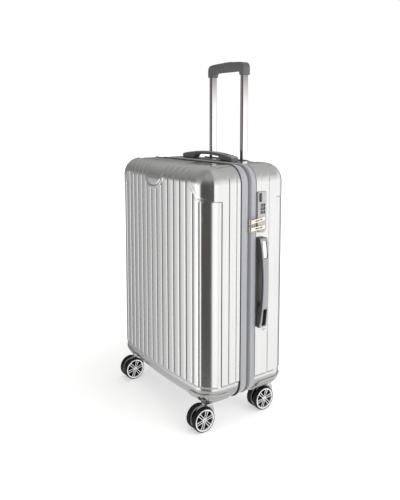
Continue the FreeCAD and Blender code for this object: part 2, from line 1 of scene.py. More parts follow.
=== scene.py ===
"""Looks of the hard shell suitcase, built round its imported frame.

Shapes are worked out in millimetres about the middle of the case: +X is the side with the lock, -Y the
ribbed front and Z up from the floor.  to_frame() turns them into the frame's metres.
"""
import json
import math

import bmesh
import bpy
import numpy as np
from mathutils import Matrix, Vector

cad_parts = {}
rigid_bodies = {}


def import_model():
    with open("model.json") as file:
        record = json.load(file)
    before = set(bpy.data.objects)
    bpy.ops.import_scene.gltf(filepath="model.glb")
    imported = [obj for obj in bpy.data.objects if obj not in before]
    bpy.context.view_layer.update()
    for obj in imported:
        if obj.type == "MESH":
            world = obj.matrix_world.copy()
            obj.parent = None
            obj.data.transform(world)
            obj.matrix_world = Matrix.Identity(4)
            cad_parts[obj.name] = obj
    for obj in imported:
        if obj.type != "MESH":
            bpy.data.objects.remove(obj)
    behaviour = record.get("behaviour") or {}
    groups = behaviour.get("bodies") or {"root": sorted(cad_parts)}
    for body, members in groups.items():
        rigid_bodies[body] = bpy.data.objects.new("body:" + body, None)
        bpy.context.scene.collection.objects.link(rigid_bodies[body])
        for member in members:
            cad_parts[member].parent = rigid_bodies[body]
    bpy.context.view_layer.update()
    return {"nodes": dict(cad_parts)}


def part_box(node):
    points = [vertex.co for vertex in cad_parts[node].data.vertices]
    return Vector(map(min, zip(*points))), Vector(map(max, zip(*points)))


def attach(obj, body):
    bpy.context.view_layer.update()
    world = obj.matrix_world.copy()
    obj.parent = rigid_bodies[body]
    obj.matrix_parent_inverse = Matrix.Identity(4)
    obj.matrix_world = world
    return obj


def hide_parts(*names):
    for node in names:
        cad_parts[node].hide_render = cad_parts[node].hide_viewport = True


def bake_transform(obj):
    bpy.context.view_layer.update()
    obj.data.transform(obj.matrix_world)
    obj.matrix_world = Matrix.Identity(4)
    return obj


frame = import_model()
scene = bpy.context.scene

# ---------------------------------------------------------------- sizes in mm, about the middle of the case
MM = 0.001


def node_box(node):
    """Corners of a CAD node's box, in millimetres of the frame."""
    low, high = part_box(node)
    return np.array(low) / MM, np.array(high) / MM


# the case; its width and height are read from the frame
PIPE_PROUD = 0.8                          # how far the piping stands out over the shells
pipe_low, pipe_high = node_box("front_piping")
HALF_W = (pipe_high[0] - pipe_low[0]) / 2 - PIPE_PROUD
BOTTOM = pipe_low[2] + PIPE_PROUD
TOP = pipe_high[2] - PIPE_PROUD
HALF_D = 133.35                           # to the face of either half, before the front's crown
RIMS = {-1: -28.4, 1: 22.8}               # Y of the open edge of the front (-1) and the back (1) half
CASE = np.array([(pipe_low[0] + pipe_high[0]) / 2, node_box("back_shell")[0][1] - RIMS[1], 0.0])
ROUND = 47.0                              # radius of the edges and corners
WALL = 2.5
CROWN, CROWN_SPAN = 9.0, 169.0            # bulge of the front, gone at this distance from its middle line

# moulding of the shells
RIB_LOW = 116.0                           # where the grooves start
RIBS = [26.0 * (k - 6.5) for k in range(14)]
STEP_X = 191.0                            # edge of the outer columns of the front
SIDE_GROOVES = {-1: (64.7, 39.0), 1: (65.5,)}    # away from Y 0, on the sides of each half
CHANNEL = (90.5, 99.5)                    # wider groove near the far edge of the sides
GUARD_LOW = 581.0                         # lower edge of the corner guards
GROOVE_DEPTH, RIB_BULGE, CHANNEL_DEPTH, LINE_DEPTH = 1.4, 0.55, 1.9, 1.1
GUARD_RISE, EMBLEM_RISE, EMBLEM_LIP, EMBLEM_LINE_DEPTH = 1.2, 0.9, 5.0, 1.4
GROOVE_MARKS = (-2.7, -1.8, -0.9, 0, 0.9, 1.8, 2.7)    # grid lines across a groove

# zip, pull tabs and lock
ZIP_Y = 1.0
TOOTH_PITCH = 2.6
SLIDERS = (523.0, 505.0)                  # heights
PULL_PIN = (228.1, 1.5)                   # X and Y
DIALS = (("dial_top", 563.4), ("dial_middle", 554.5), ("dial_bottom", 545.6))
DIAL_R = 9.0
DIGIT_R = 9.06                            # the numbers stand a little over the dials
DIGIT_H = 5.2

# casters
WHEEL_R = 31.0
WHEEL_W = 13.8
WHEEL_IN = 5.6                            # from the middle of the fork to a wheel
RIM_R = 28.3
TREAD_LOW, TREAD_RING = 29.5, 2.4         # radius where the tread starts, ring's distance from the middle
TRAIL = 19.4                              # from the swivel pin to the axle
HOUSING_LOW = BOTTOM - 2.2
PAD_X, PAD_Y, PAD_TOP = 142.0, {-1: 51.0, 1: 32.0}, 97.0    # free edges of a corner housing
PAD_CORNER = 20.0
CORNERS = [(end, hand, (x, y)) for end, y in (("front", -98.5), ("rear", 98.5))
           for hand, x in (("left", -180.0), ("right", 180.0))]

# handles
TUBE_X, TUBE_Y = 71.6, 104.0
HANDLE_Y = 38.0
SIDE_HANDLE_Z = 365.0
GRIP_REACH = 116.0
GRIP_FOOT = 64.2                          # where the foot of a carry grip starts
GRIP_SLOT = (65.6, 110.4)

# cloth inside the case
CLOTH = 0.8
LINING_INSET = 4.3
GUSSET_X, GUSSET_Y, GUSSET_Z = -219.2, (-6.0, 13.0), (133, 597)

AXES = {"x": (1, 2, 0), "y": (0, 2, 1), "z": (0, 1, 2)}    # plane of an outline and the axis across it

# bearing round the case (0 is +X, 90 is +Y), level and tint of the studio wall
WHITE = (1.0, 1.0, 1.0)
BROWN = (1.0, 0.90, 0.80)
SKY = (1.0, 1.0, 0.975)
STUDIO_RING = [(0, 1.42, WHITE), (78, 1.42, WHITE), (100, 0.4, WHITE), (150, 0.14, WHITE),
               (184, 0.28, WHITE), (200, 0.48, WHITE), (214, 0.76, WHITE), (226, 1.12, WHITE),
               (240, 1.7, WHITE), (266, 1.6, WHITE), (273, 0.085, BROWN), (328, 0.075, BROWN),
               (335, 1.6, WHITE)]
STUDIO_ABOVE = [(0, 1.15, WHITE), (80, 1.15, WHITE), (130, 0.4, WHITE), (180, 0.24, WHITE),
                (232, 0.26, WHITE), (250, 0.6, WHITE), (272, 0.5, WHITE), (284, 0.16, BROWN),
                (326, 0.16, BROWN), (338, 1.1, WHITE)]
STUDIO_HIGH = [(0, 0.72, SKY), (80, 0.62, SKY), (180, 0.50, SKY), (215, 0.36, SKY), (260, 0.34, SKY),
               (300, 0.40, SKY), (325, 0.44, SKY), (345, 0.66, SKY)]
FLOOR_GLOW = 0.62
FLOOR_LIFT = 0.44
FLOOR_REACH = 9000.0


def to_frame(points):
    """Case millimetres to the frame's metres."""
    return (np.asarray(points, float) + CASE) * MM


def ease(a, b, value):
    """Smooth step from 0 at a to 1 at b."""
    t = np.clip((value - a) / (b - a), 0, 1)
    return t * t * (3 - 2 * t)


# ---------------------------------------------------------------- materials
class Nodes:
    """Short way to build a node tree: every call adds one node and wires it."""

    def __init__(self, name, owner=None):
        self.material = owner or bpy.data.materials.new(name)
        self.material.use_nodes = True
        self.tree = self.material.node_tree
        self.shader = self.tree.nodes.get("Principled BSDF")
        self.place = self.add("TexCoord").outputs["Object"]

    def add(self, kind, inputs=(), **settings):
        node = self.tree.nodes.new("ShaderNode" + kind)
        for key, value in settings.items():
            setattr(node, key, value)
        for key, value in dict(inputs).items():
            self.put(node.inputs[key], value)
        return node

    def put(self, socket, value):
        if isinstance(value, bpy.types.NodeSocket):
            self.tree.links.new(value, socket)
        else:
            socket.default_value = value

    def set(self, **values):
        for key, value in values.items():
            self.put(self.shader.inputs[key.replace("_", " ")], value)

    def stretched(self, scale):
        return self.add("Mapping", {"Vector": self.place, "Scale": scale}).outputs["Vector"]

    def noise(self, scale, detail=3.0, vector=None, rough=0.5):
        inputs = {"Vector": vector or self.place, "Scale": scale, "Detail": detail, "Roughness": rough}
        return self.add("TexNoise", inputs).outputs["Fac"]

    def wave(self, scale, vector=None, axis="X", distortion=0.0):
        inputs = {"Vector": vector or self.place, "Scale": scale, "Distortion": distortion}
        return self.add("TexWave", inputs, bands_direction=axis).outputs["Fac"]

    def ring(self, bearing, stops):
        """Colour by bearing, from (degrees, level, tint) stops."""
        node = self.add("ValToRGB", {"Fac": bearing})
        while len(node.color_ramp.elements) < len(stops):
            node.color_ramp.elements.new(0.5)
        for element, (degrees, level, tint) in zip(node.color_ramp.elements, stops):
            element.position = degrees / 360
            element.color = grey(level, tint)
        return node.outputs["Color"]

    def span(self, fac, low, high, start=0.0, end=1.0, **settings):
        inputs = {"Value": fac, "From Min": start, "From Max": end, "To Min": low, "To Max": high}
        return self.add("MapRange", inputs, **settings).outputs["Result"]

    def split(self, vector):
        return self.add("SeparateXYZ", {"Vector": vector}).outputs

    def mix(self, fac, a, b):
        node = self.add("Mix", {"Factor": fac}, data_type="RGBA")
        self.put(node.inputs[6], a)
        self.put(node.inputs[7], b)
        return node.outputs[2]

    def math(self, kind, a, b=0.0):
        node = self.add("Math", operation=kind)
        self.put(node.inputs[0], a)
        self.put(node.inputs[1], b)
        return node.outputs[0]

    def bump(self, height, strength, distance=0.001, under=None):
        inputs = {"Height": height, "Strength": strength, "Distance": distance}
        if under is not None:
            inputs["Normal"] = under
        return self.add("Bump", inputs).outputs["Normal"]


def grey(level, tint=(1.0, 1.0, 1.0)):
    """Colour from a level and a tint."""
    return (level * tint[0], level * tint[1], level * tint[2], 1.0)


def silver_shell():
    """Silver lacquer over moulded plastic: fine metal flake, faint orange peel and hairline wear."""
    n = Nodes("silver_shell")
    flake = n.noise(2600, 1.0)
    cloud = n.noise(6, 2.0)
    scuff = n.noise(90, 6.0, n.stretched((1, 1, 0.12)), 0.7)
    tone = n.mix(n.span(cloud, 0, 1), grey(0.60, (1, 1, 0.985)), grey(0.66))
    colour = n.mix(n.span(flake, 0.0, 0.06, 0.35, 0.75), tone, grey(0.80))
    rough = n.math("ADD", n.span(flake, 0.15, 0.21), n.span(scuff, 0.0, 0.10, 0.55, 0.8))
    peel = n.bump(n.noise(150, 1.0), 0.03, 0.0004)
    n.set(Base_Color=colour, Metallic=0.96, Roughness=rough, Normal=n.bump(flake, 0.03, 0.0001, peel))
    n.set(Coat_Weight=0.35, Coat_Roughness=0.12)
    return n.material


def moulded(name, colour, rough, grain=900.0, strength=0.12, spread=0.15):
    """Moulded plastic with a fine spark-eroded grain and slightly uneven colour."""
    n = Nodes(name)
    fine = n.noise(grain, 3.0)
    cloud = n.noise(14, 3.0)
    darker = tuple(c * (1 - spread) for c in colour[:3]) + (1,)
    n.set(Base_Color=n.mix(cloud, darker, colour), Roughness=n.span(fine, rough - 0.06, rough + 0.08))
    n.set(Normal=n.bump(fine, strength, 0.0003))
    return n.material


def metal(name, colour, rough, brushed=(1, 1, 1), spread=0.08, lines=0.04):
    """Metal with fine draw lines along the axis that the brushed vector shortens."""
    n = Nodes(name)
    line = n.noise(1400, 3.0, n.stretched(brushed))
    stain = n.noise(22, 4.0)
    dull = tuple(c * (1 - spread) for c in colour[:3]) + (1,)
    n.set(Base_Color=n.mix(stain, dull, colour), Metallic=1.0)
    n.set(Roughness=n.math("ADD", n.span(line, rough * 0.8, rough * 1.2), n.span(stain, 0, 0.05)))
    n.set(Normal=n.bump(line, lines, 0.0001))
    return n.material


def drawn_tube():
    """Drawn metal tube, bright on its broad faces, with a painted brown reflection on its faces across Y
    and towards the grip.
    """
    n = Nodes("drawn_tube")
    place = n.add("TexCoord").outputs
    # painted reflection: brown mixed into the colour by face direction and by height, not a tint of the
    # metal
    narrow_face_reflection = n.span(n.math("ABSOLUTE", n.split(place["Normal"])["Y"]), 0, 1, 0.25, 0.6)
    reflection_near_grip = n.span(n.split(place["Generated"])["Z"], 0, 1, 0.70, 0.96)
    painted_reflection = n.math("MAXIMUM", n.math("MULTIPLY", narrow_face_reflection, 0.9), n.math("MULTIPLY", reflection_near_grip, 0.85))
    line = n.noise(1400, 3.0, n.stretched((1, 1, 0.03)))
    colour = n.mix(painted_reflection, grey(0.80, (1.0, 0.98, 0.97)), grey(0.13, (1.0, 0.88, 0.86)))
    n.set(Base_Color=colour, Metallic=1.0)
    n.set(Roughness=n.span(line, 0.12, 0.18), Normal=n.bump(line, 0.04, 0.0001))
    return n.material


def woven(name, colour, pitch=0.6, strength=0.5, sheen=0.3, rough=0.85):
    """Plain weave: two crossed sets of threads, pitch in millimetres."""
    n = Nodes(name)
    scale = 2 * math.pi / (pitch * MM) / 20
    warp = n.math("MAXIMUM", n.wave(scale, axis="X"), n.wave(scale, axis="Y"))
    weft = n.wave(scale, axis="Z")
    thread = n.math("MULTIPLY", warp, weft)
    fuzz = n.noise(700, 3.0)
    dark = tuple(c * 0.62 for c in colour[:3]) + (1,)
    shade = n.math("ADD", n.span(thread, 0, 0.7), n.span(fuzz, 0, 0.3))
    n.set(Base_Color=n.mix(shade, dark, colour), Roughness=rough, Normal=n.bump(thread, strength, 0.0003))
    n.set(Sheen_Weight=sheen, Sheen_Roughness=0.5)
    return n.material


def tyre_rubber():
    """Black rubber with a little dust."""
    n = Nodes("tyre_rubber")
    fine = n.noise(500, 4.0)
    dust = n.noise(60, 5.0)
    n.set(Base_Color=n.mix(n.span(dust, 0, 0.4, 0.5, 0.85), grey(0.008), grey(0.035, (1, 0.97, 0.93))))
    n.set(Roughness=n.span(fine, 0.42, 0.62), Normal=n.bump(fine, 0.15, 0.0003))
    return n.material


mats = {
    "shell": silver_shell(),
    "piping": moulded("piping_vinyl", grey(0.028, (1, 1, 1.08)), 0.45, 300),
    "band": woven("band_cloth", grey(0.50, (0.97, 0.98, 1.05)), 0.55, 0.35),
    "zip_cloth": woven("zip_cloth", grey(0.30, (0.98, 0.98, 1.04)), 0.5, 0.5),
    "coil": moulded("coil_nylon", grey(0.24, (1, 1, 1.04)), 0.38, 500),
    "gold": metal("pale_gold", grey(0.86, (1.0, 0.91, 0.74)), 0.16),
    "lock": metal("satin_nickel", grey(0.50, (1, 1, 1.01)), 0.40, (1, 1, 0.05)),
    "dark": moulded("black_plastic", grey(0.022), 0.38),
    "chrome": metal("bright_chrome", grey(0.88), 0.07),
    "steel": metal("satin_steel", grey(0.60), 0.28, (0.05, 1, 1)),
    "dial": moulded("dial_plastic", grey(0.03), 0.35, 600),
    "digit": moulded("digit_paint", grey(0.75), 0.5, 600, 0.05, 0.03),
    "lining": woven("lining_cloth", grey(0.065, (1, 1, 1.12)), 0.7, 0.45, 0.5),
    "mesh": woven("mesh_cloth", grey(0.03), 1.6, 0.9, 0.4),
    "webbing": woven("webbing", grey(0.03, (1, 1, 1.05)), 1.1, 0.8, 0.4),
    "tube": drawn_tube(),
    "grip": moulded("grip_plastic", grey(0.10, (1, 1, 1.02)), 0.46),
    "tray": moulded("tray_plastic", grey(0.12, (1, 1, 1.02)), 0.42),
    "handle": moulded("handle_plastic", grey(0.34, (0.97, 0.99, 1.04)), 0.36, 700),
    # darker copies of the handle plastic for the grips' sides and the plates under them: painted shade
    "handle_side": moulded("handle_side_plastic", grey(0.07, (1, 0.98, 0.96)), 0.42, 700),
    "handle_flank": moulded("handle_flank_painted_shade_plastic", grey(0.13), 0.42, 700),
    "fork": moulded("fork_plastic", grey(0.56, (1, 0.99, 0.97)), 0.32),
    "tyre": tyre_rubber(),
    "rim": moulded("rim_lacquer", grey(0.86), 0.20, 1500, 0.05, 0.04),
    # near-black, its gloss turned down below: painted shade in the hollow of the wheel behind the spokes
    "well": moulded("rim_well", grey(0.004), 0.8),
}
for kind, socket, value in (("rim", "Metallic", 0.6), ("well", "Specular IOR Level", 0.1),
                            ("tyre", "Specular IOR Level", 0.25), ("piping", "Specular IOR Level", 0.3)):
    mats[kind].node_tree.nodes["Principled BSDF"].inputs[socket].default_value = value


# ---------------------------------------------------------------- mesh helpers
def placed(name, data):
    """Object in the scene, holding a mesh, a lamp, a camera or a text."""
    obj = bpy.data.objects.new(name, data)
    scene.collection.objects.link(obj)
    return obj


def new_piece(name, vertices, faces, material, smooth=True, framed=True):
    """Mesh object from points in case millimetres (framed) or already in metres."""
    mesh = bpy.data.meshes.new(name)
    points = to_frame(vertices) if framed else np.asarray(vertices, float)
    mesh.from_pydata([tuple(p) for p in points], [], [tuple(int(i) for i in f) for f in faces])
    mesh.validate()
    mesh.polygons.foreach_set("use_smooth", [smooth] * len(mesh.polygons))
    mesh.materials.append(mats[material] if isinstance(material, str) else material)
    return placed(name, mesh)


def tidy_mesh(obj, weld=0.0):
    """Weld doubles and point every face outwards."""
    bm = bmesh.new()
    bm.from_mesh(obj.data)
    if weld:
        bmesh.ops.remove_doubles(bm, verts=bm.verts, dist=weld * MM)
    bmesh.ops.recalc_face_normals(bm, faces=bm.faces)
    bm.to_mesh(obj.data)
    bm.free()
    return obj


def apply_modifiers(obj):
    """Turn a piece's modifiers into mesh."""
    graph = bpy.context.evaluated_depsgraph_get()
    made = bpy.data.meshes.new_from_object(obj.evaluated_get(graph))
    obj.modifiers.clear()
    obj.data = made
    return obj


def bevelled(obj, width, segments=3, angle=30, smooth_angle=40):
    """Round the sharp edges of a piece, then shade it smooth by angle."""
    modifier = obj.modifiers.new("edge", "BEVEL")
    modifier.width = width * MM
    modifier.segments = segments
    modifier.limit_method = "ANGLE"
    modifier.angle_limit = math.radians(angle)
    modifier.harden_normals = False
    return shaded(apply_modifiers(obj), smooth_angle)


def joined(name, objects):
    """One piece from several meshes that share a body."""
    bm = bmesh.new()
    materials = []
    for obj in objects:
        bpy.context.view_layer.update()
        mesh = obj.data.copy()
        mesh.transform(obj.matrix_world)
        offset = len(materials)
        materials += list(obj.data.materials)
        start = len(bm.faces)
        bm.from_mesh(mesh)
        bm.faces.ensure_lookup_table()
        for face in bm.faces[start:]:
            face.material_index += offset
        bpy.data.meshes.remove(mesh)
        bpy.data.objects.remove(obj)
    unique = []
    remap = {}
    for index, material in enumerate(materials):
        if material not in unique:
            unique.append(material)
        remap[index] = unique.index(material)
    for face in bm.faces:
        face.material_index = remap[face.material_index]
    out = bpy.data.meshes.new(name)
    bm.to_mesh(out)
    bm.free()
    for material in unique:
        out.materials.append(material)
    return placed(name, out)


def shaded(obj, angle):
    """Smooth shading, apart from edges sharper than an angle."""
    obj.data.polygons.foreach_set("use_smooth", [True] * len(obj.data.polygons))
    obj.data.set_sharp_from_angle(angle=math.radians(angle))
    return obj


def thickened(obj, thickness):
    """Give a sheet its thickness, on the inner side."""
    modifier = obj.modifiers.new("wall", "SOLIDIFY")
    modifier.thickness = thickness * MM
    modifier.offset = -1
    return apply_modifiers(obj)


def loft(rows, count, close_rows=False, close_section=True):
    """Faces between rows of points; the rows and the section may each close on themselves."""
    faces = []
    for r in range(rows if close_rows else rows - 1):
        s = (r + 1) % rows
        for i in range(count if close_section else count - 1):
            j = (i + 1) % count
            faces.append((r * count + i, r * count + j, s * count + j, s * count + i))
    return faces


def slab(name, outline, axis, low, high, material, bevel=0.0, segments=3):
    """Outline in the plane across an axis, drawn out along it and bevelled, in case millimetres."""
    a, b, c = AXES[axis]
    count = len(outline)
    points = np.zeros((2 * count, 3))
    for level, value in enumerate((low, high)):
        rows = slice(level * count, (level + 1) * count)
        points[rows, a] = [p[0] for p in outline]
        points[rows, b] = [p[1] for p in outline]
        points[rows, c] = value
    faces = [tuple(range(count))[::-1], tuple(range(count, 2 * count))]
    obj = tidy_mesh(new_piece(name, points, faces + loft(2, count), material))
    return bevelled(obj, bevel, segments) if bevel else shaded(obj, 35)


def arc_points(centre, radius, start, end, steps):
    """Points on an arc, angles in degrees."""
    angles = np.radians(np.linspace(start, end, steps))
    return [(centre[0] + radius * math.cos(a), centre[1] + radius * math.sin(a)) for a in angles]


def circle(centre, radius, steps):
    """Closed circle of evenly spaced points."""
    return arc_points(centre, radius, 0, 360 * (steps - 1) / steps, steps)


def rounded_outline(x0, x1, y0, y1, radius, steps=6):
    """Rectangle with rounded corners."""
    outline = []
    for cx, cy, start in ((x1 - radius, y1 - radius, 0), (x0 + radius, y1 - radius, 90),
                          (x0 + radius, y0 + radius, 180), (x1 - radius, y0 + radius, 270)):
        outline += arc_points((cx, cy), radius, start, start + 90, steps)
    return outline


def plate(name, rectangle, *how):
    """Slab whose outline is a rounded rectangle."""
    return slab(name, rounded_outline(*rectangle), *how)


def turned(name, profile, material, steps=64, cut=None):
    """Closed profile of (along X, radius) points, in mm, turned about the object's own X axis.

    cut tells how far the surface is cut back at a point of the profile and a step of the turn."""
    vertices = []
    for s in range(steps):
        a = 2 * math.pi * s / steps
        for x, r in profile:
            r -= cut(x, r, s) if cut else 0.0
            vertices.append((x * MM, r * math.cos(a) * MM, r * math.sin(a) * MM))
    faces = loft(steps, len(profile), True)
    return tidy_mesh(new_piece(name, vertices, faces, material, framed=False), 0.001)


def settle(obj, body, slot, *nodes):
    """Finish a piece: it rides a body and may stand for CAD nodes; the slot is not used."""
    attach(obj, body)
    if nodes:
        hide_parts(*nodes)
    return obj


# ---------------------------------------------------------------- surface of one case half
def box_lines(limits, steps, features=()):
    """Grid lines between two limits: the wanted features, then even filling.

    steps holds (start, end, widest gap)."""
    lines = {round(v, 3) for v in list(limits) + [f for f in features if limits[0] < f < limits[1]]}
    for start, end, gap in steps:
        start, end = max(start, limits[0]), min(end, limits[1])
        if end <= start:
            continue
        inside = sorted({start, end} | {v for v in lines if start < v < end})
        for a, b in zip(inside, inside[1:]):
            parts = max(1, math.ceil((b - a) / gap))
            lines |= {round(a + (b - a) * k / parts, 3) for k in range(parts + 1)}
    made = sorted(lines)
    kept = [made[0]]
    for value in made[1:-1]:
        if value - kept[-1] > 0.35 and made[-1] - value > 0.35:
            kept.append(value)
    return np.array(kept + [made[-1]])


def even_lines(low, high, gap):
    """Grid lines no further apart than a gap."""
    return box_lines((low, high), [(low, high, gap)])


class Quads:
    """Patches of quads that share their corners."""

    def __init__(self):
        self.ids, self.faces = {}, []

    def patch(self, us, vs, place):
        """Grid of quads; place gives the point for a pair of grid values."""
        for u0, u1 in zip(us, us[1:]):
            for v0, v1 in zip(vs, vs[1:]):
                corners = [place(*uv) for uv in ((u0, v0), (u1, v0), (u1, v1), (u0, v1))]
                self.faces.append([self.ids.setdefault(c, len(self.ids)) for c in corners])

    def points(self):
        return np.array(list(self.ids), float)


class Tub:
    """Rounded open box: a face across Y, four rounded sides and an open rim."""

    def __init__(self, reach, far, rim, bottom, top, radius):
        self.reach, self.far = reach, far
        self.bottom, self.top, self.radius = bottom, top, radius
        self.side = -1 if far < rim else 1

    def grid(self, xs, depths, zs):
        """Faces of the grid over the far face and the four sides; depths run from the face to the rim."""
        quads = Quads()
        quads.patch(xs, zs, lambda u, v: (u, depths[0], v))
        for x in (xs[0], xs[-1]):
            quads.patch(depths, zs, lambda u, v: (x, u, v))
        for z in (zs[0], zs[-1]):
            quads.patch(xs, depths, lambda u, v: (u, v, z))
        return quads.points(), np.array(quads.faces)

    def surface(self, points):
        """Round the corners of the square grid: gives places and outward normals."""
        r = self.radius
        core = points.copy()
        core[:, 0] = np.clip(points[:, 0], -self.reach + r, self.reach - r)
        core[:, 2] = np.clip(points[:, 2], self.bottom + r, self.top - r)
        if self.side < 0:
            core[:, 1] = np.maximum(points[:, 1], self.far + r)
        else:
            core[:, 1] = np.minimum(points[:, 1], self.far - r)
        out = points - core
        normal = out / np.linalg.norm(out, axis=1)[:, None]
        return core + normal * r, normal


def crown_shift(points):
    """The front bulges: its middle line stands out and its corners fall back."""
    moved = points.copy()
    rise = CROWN * (1 - (points[:, 0] / CROWN_SPAN) ** 2)
    hold = 1 - ease(-90, -45, points[:, 1])
    moved[:, 1] -= rise * hold
    return moved


def outline_distance(outline, u, v):
    """Signed distance to a closed outline, positive inside."""
    best = np.full(len(u), 1e9)
    inside = np.zeros(len(u), bool)
    for (ax, ay), (bx, by) in zip(outline, outline[1:] + outline[:1]):
        dx, dy = bx - ax, by - ay
        t = np.clip(((u - ax) * dx + (v - ay) * dy) / (dx * dx + dy * dy), 0, 1)
        best = np.minimum(best, np.hypot(u - ax - t * dx, v - ay - t * dy))
        if ay != by:
            crosses = (ay > v) != (by > v)
            inside ^= crosses & (u < ax + (v - ay) / (by - ay) * dx)
    return np.where(inside, best, -best)


def corner_distance(a, b, radius):
    """Distance inside the corner between two edges, rounded by a radius."""
    ra, rb = np.maximum(radius - a, 0), np.maximum(radius - b, 0)
    return np.where((ra > 0) & (rb > 0), radius - np.hypot(ra, rb), np.minimum(a, b))


GUARD_LINE = [(142, 760), (142, 640), (145, 630), (153, 618), (166, 607), (175, 593), (181, 585),
              (188, 581.5), (198, GUARD_LOW), (300, GUARD_LOW), (300, 760)]
EMBLEM_LINE = [(-54, 760), (-53, 660), (-49, 640), (-41, 618), (-32, 606), (-18, 600.5), (0, 599),
               (18, 600.5), (32, 606), (41, 618), (49, 640), (53, 660), (54, 760)]


def shell_relief(side, place, normal):
    """Height of the shell's moulding over its plain form, mm."""
    u, y, z = np.abs(place[:, 0]), np.abs(place[:, 1]), place[:, 2]
    facing = side * normal[:, 1]
    sideways = np.abs(normal[:, 0])
    on_face = (facing >= sideways)
    groove_front = np.min([np.abs(u - abs(rib)) for rib in RIBS] + [np.abs(u - STEP_X) + 0.6], axis=0)
    groove_side = np.min([np.abs(y - line) for line in SIDE_GROOVES[side]], axis=0)
    if side > 0:
        above_lock = np.hypot(np.abs(y - 41.0), np.maximum(602 - z, 0))
        groove_side = np.where(normal[:, 0] > 0.3, np.minimum(groove_side, above_lock), groove_side)
    gap = np.where(on_face, groove_front, groove_side)
    fade = np.where(on_face, ease(664.9, 652, z), ease(652, 628, z))
    end = z - RIB_LOW
    rounded = corner_distance(gap, end, 4.0)
    panel = ease(0.0, 2.3, rounded)
    width = np.where(on_face, 13.0, 12.0)
    bulge = 1 - (1 - np.clip(gap / width, 0, 1)) ** 2
    column = np.where(on_face, u > STEP_X, y > CHANNEL[1])
    bulge = np.where(column, 0.0, bulge)
    if side > 0:
        under_grip = (normal[:, 0] > 0.3) & (y > 22) & (y < 54) & (z > 236) & (z < 602)
        bulge = np.where(under_grip | ((normal[:, 2] > 0.7) & (y < 54) & (u < 122)), 0.0, bulge)
    low = ease(RIB_LOW + 3, RIB_LOW - 1, z)
    height = -GROOVE_DEPTH * np.maximum((1 - panel) * np.maximum(fade, low), low)
    height = height + RIB_BULGE * bulge * fade * (1 - low)
    inside_channel = np.minimum(y - CHANNEL[0], CHANNEL[1] - y)
    channel = ease(-0.8, 0.9, inside_channel) * ease(GUARD_LOW + 0.5, GUARD_LOW - 1.5, z) * (sideways > 0.6)
    channel = channel * (1 - low)
    height = height * (1 - channel) - CHANNEL_DEPTH * channel
    if side > 0:
        panel_low = np.minimum(y - 38.0, 64.0 - y)
        edge = corner_distance(panel_low, 237.0 - z, 8.0)
        line = np.exp(-(edge / 1.2) ** 2) * (normal[:, 0] > 0.6) * (z > RIB_LOW + 2)
        height = height - LINE_DEPTH * line
    guard = np.minimum(outline_distance(GUARD_LINE, u, z), y - 88.0)
    on_guard = ease(-0.7, 0.7, guard)
    line = np.exp(-((guard - 6.5) / 1.3) ** 2) * ease(640, 620, z) * ease(0.72, 0.88, facing)
    rounding = ease(0.45, 0.62, np.minimum(facing, sideways))
    height = height * (1 - on_guard) + on_guard * (GUARD_RISE - 0.95 * rounding - LINE_DEPTH * line)
    if side < 0:
        emblem = outline_distance(EMBLEM_LINE, place[:, 0], z)
        on_emblem = ease(-0.7, 0.7, emblem) * (facing > -0.1) * ease(-40, -60, place[:, 1])
        line = np.exp(-((emblem - 7.5) / 1.5) ** 2)
        lip = EMBLEM_LIP * np.clip((640 - z) / 40, 0, 1) ** 1.5
        height = height * (1 - on_emblem) + on_emblem * (EMBLEM_RISE + lip - EMBLEM_LINE_DEPTH * line)
    return height


def shell_lines(side):
    """Grid lines of a shell: fine over its moulding, coarse where it runs straight."""
    xs = box_lines((-HALF_W, HALF_W), [(-56, 56, 2.4), (-142, -56, 4.5), (56, 142, 4.5),
                                       (-HALF_W, -142, 2.3), (142, HALF_W, 2.3)],
                   [rib + mark for rib in RIBS for mark in GROOVE_MARKS])
    grooves = SIDE_GROOVES[side] + ((39.5,) if side > 0 else ())
    marks = [side * (groove + mark) for groove in grooves for mark in GROOVE_MARKS]
    marks += [side * (edge + mark) for edge in CHANNEL for mark in (-1.2, -0.4, 0.4, 1.2)]
    depths = box_lines(sorted((side * HALF_D, RIMS[side])),
                       [(-HALF_D, -82, 2.8), (-82, 82, 5), (82, HALF_D, 2.8)], marks)
    zs = box_lines((BOTTOM, TOP), [(BOTTOM, 108, 4.5), (108, 122, 1.4), (122, 228, 26), (228, 240, 1.5),
                                   (240, 572, 42), (572, 590, 1.5), (590, TOP, 2.0)])
    return xs, depths[::-side], zs


def shell_half(name, side):
    """Moulded outer face and plain inner face of one shell, joined round the rim."""
    outer = Tub(HALF_W, side * HALF_D, RIMS[side], BOTTOM, TOP, ROUND)
    points, faces = outer.grid(*shell_lines(side))
    place, normal = outer.surface(points)
    place = place + normal * shell_relief(side, place, normal)[:, None]
    reach, far, low, high = HALF_W - WALL, side * (HALF_D - WALL), BOTTOM + WALL, TOP - WALL
    inner = Tub(reach, far, RIMS[side], low, high, ROUND - WALL)
    depths = even_lines(*sorted((far, RIMS[side])), 10)[::-side]
    zs = box_lines((low, high), [(BOTTOM, 115, 8), (115, 610, 60), (610, TOP, 8)])
    inner_points, inner_faces = inner.grid(even_lines(-reach, reach, 14), depths, zs)
    inner_place, _ = inner.surface(inner_points)
    if side < 0:
        place, inner_place = crown_shift(place), crown_shift(inner_place)
    faces = np.vstack([faces, inner_faces + len(place)])
    obj = new_piece(name, np.vstack([place, inner_place]), faces, "shell")
    bm = bmesh.new()
    bm.from_mesh(obj.data)
    bmesh.ops.bridge_loops(bm, edges=[edge for edge in bm.edges if edge.is_boundary])
    bmesh.ops.recalc_face_normals(bm, faces=bm.faces)
    bm.to_mesh(obj.data)
    bm.free()
    return shaded(obj, 60)


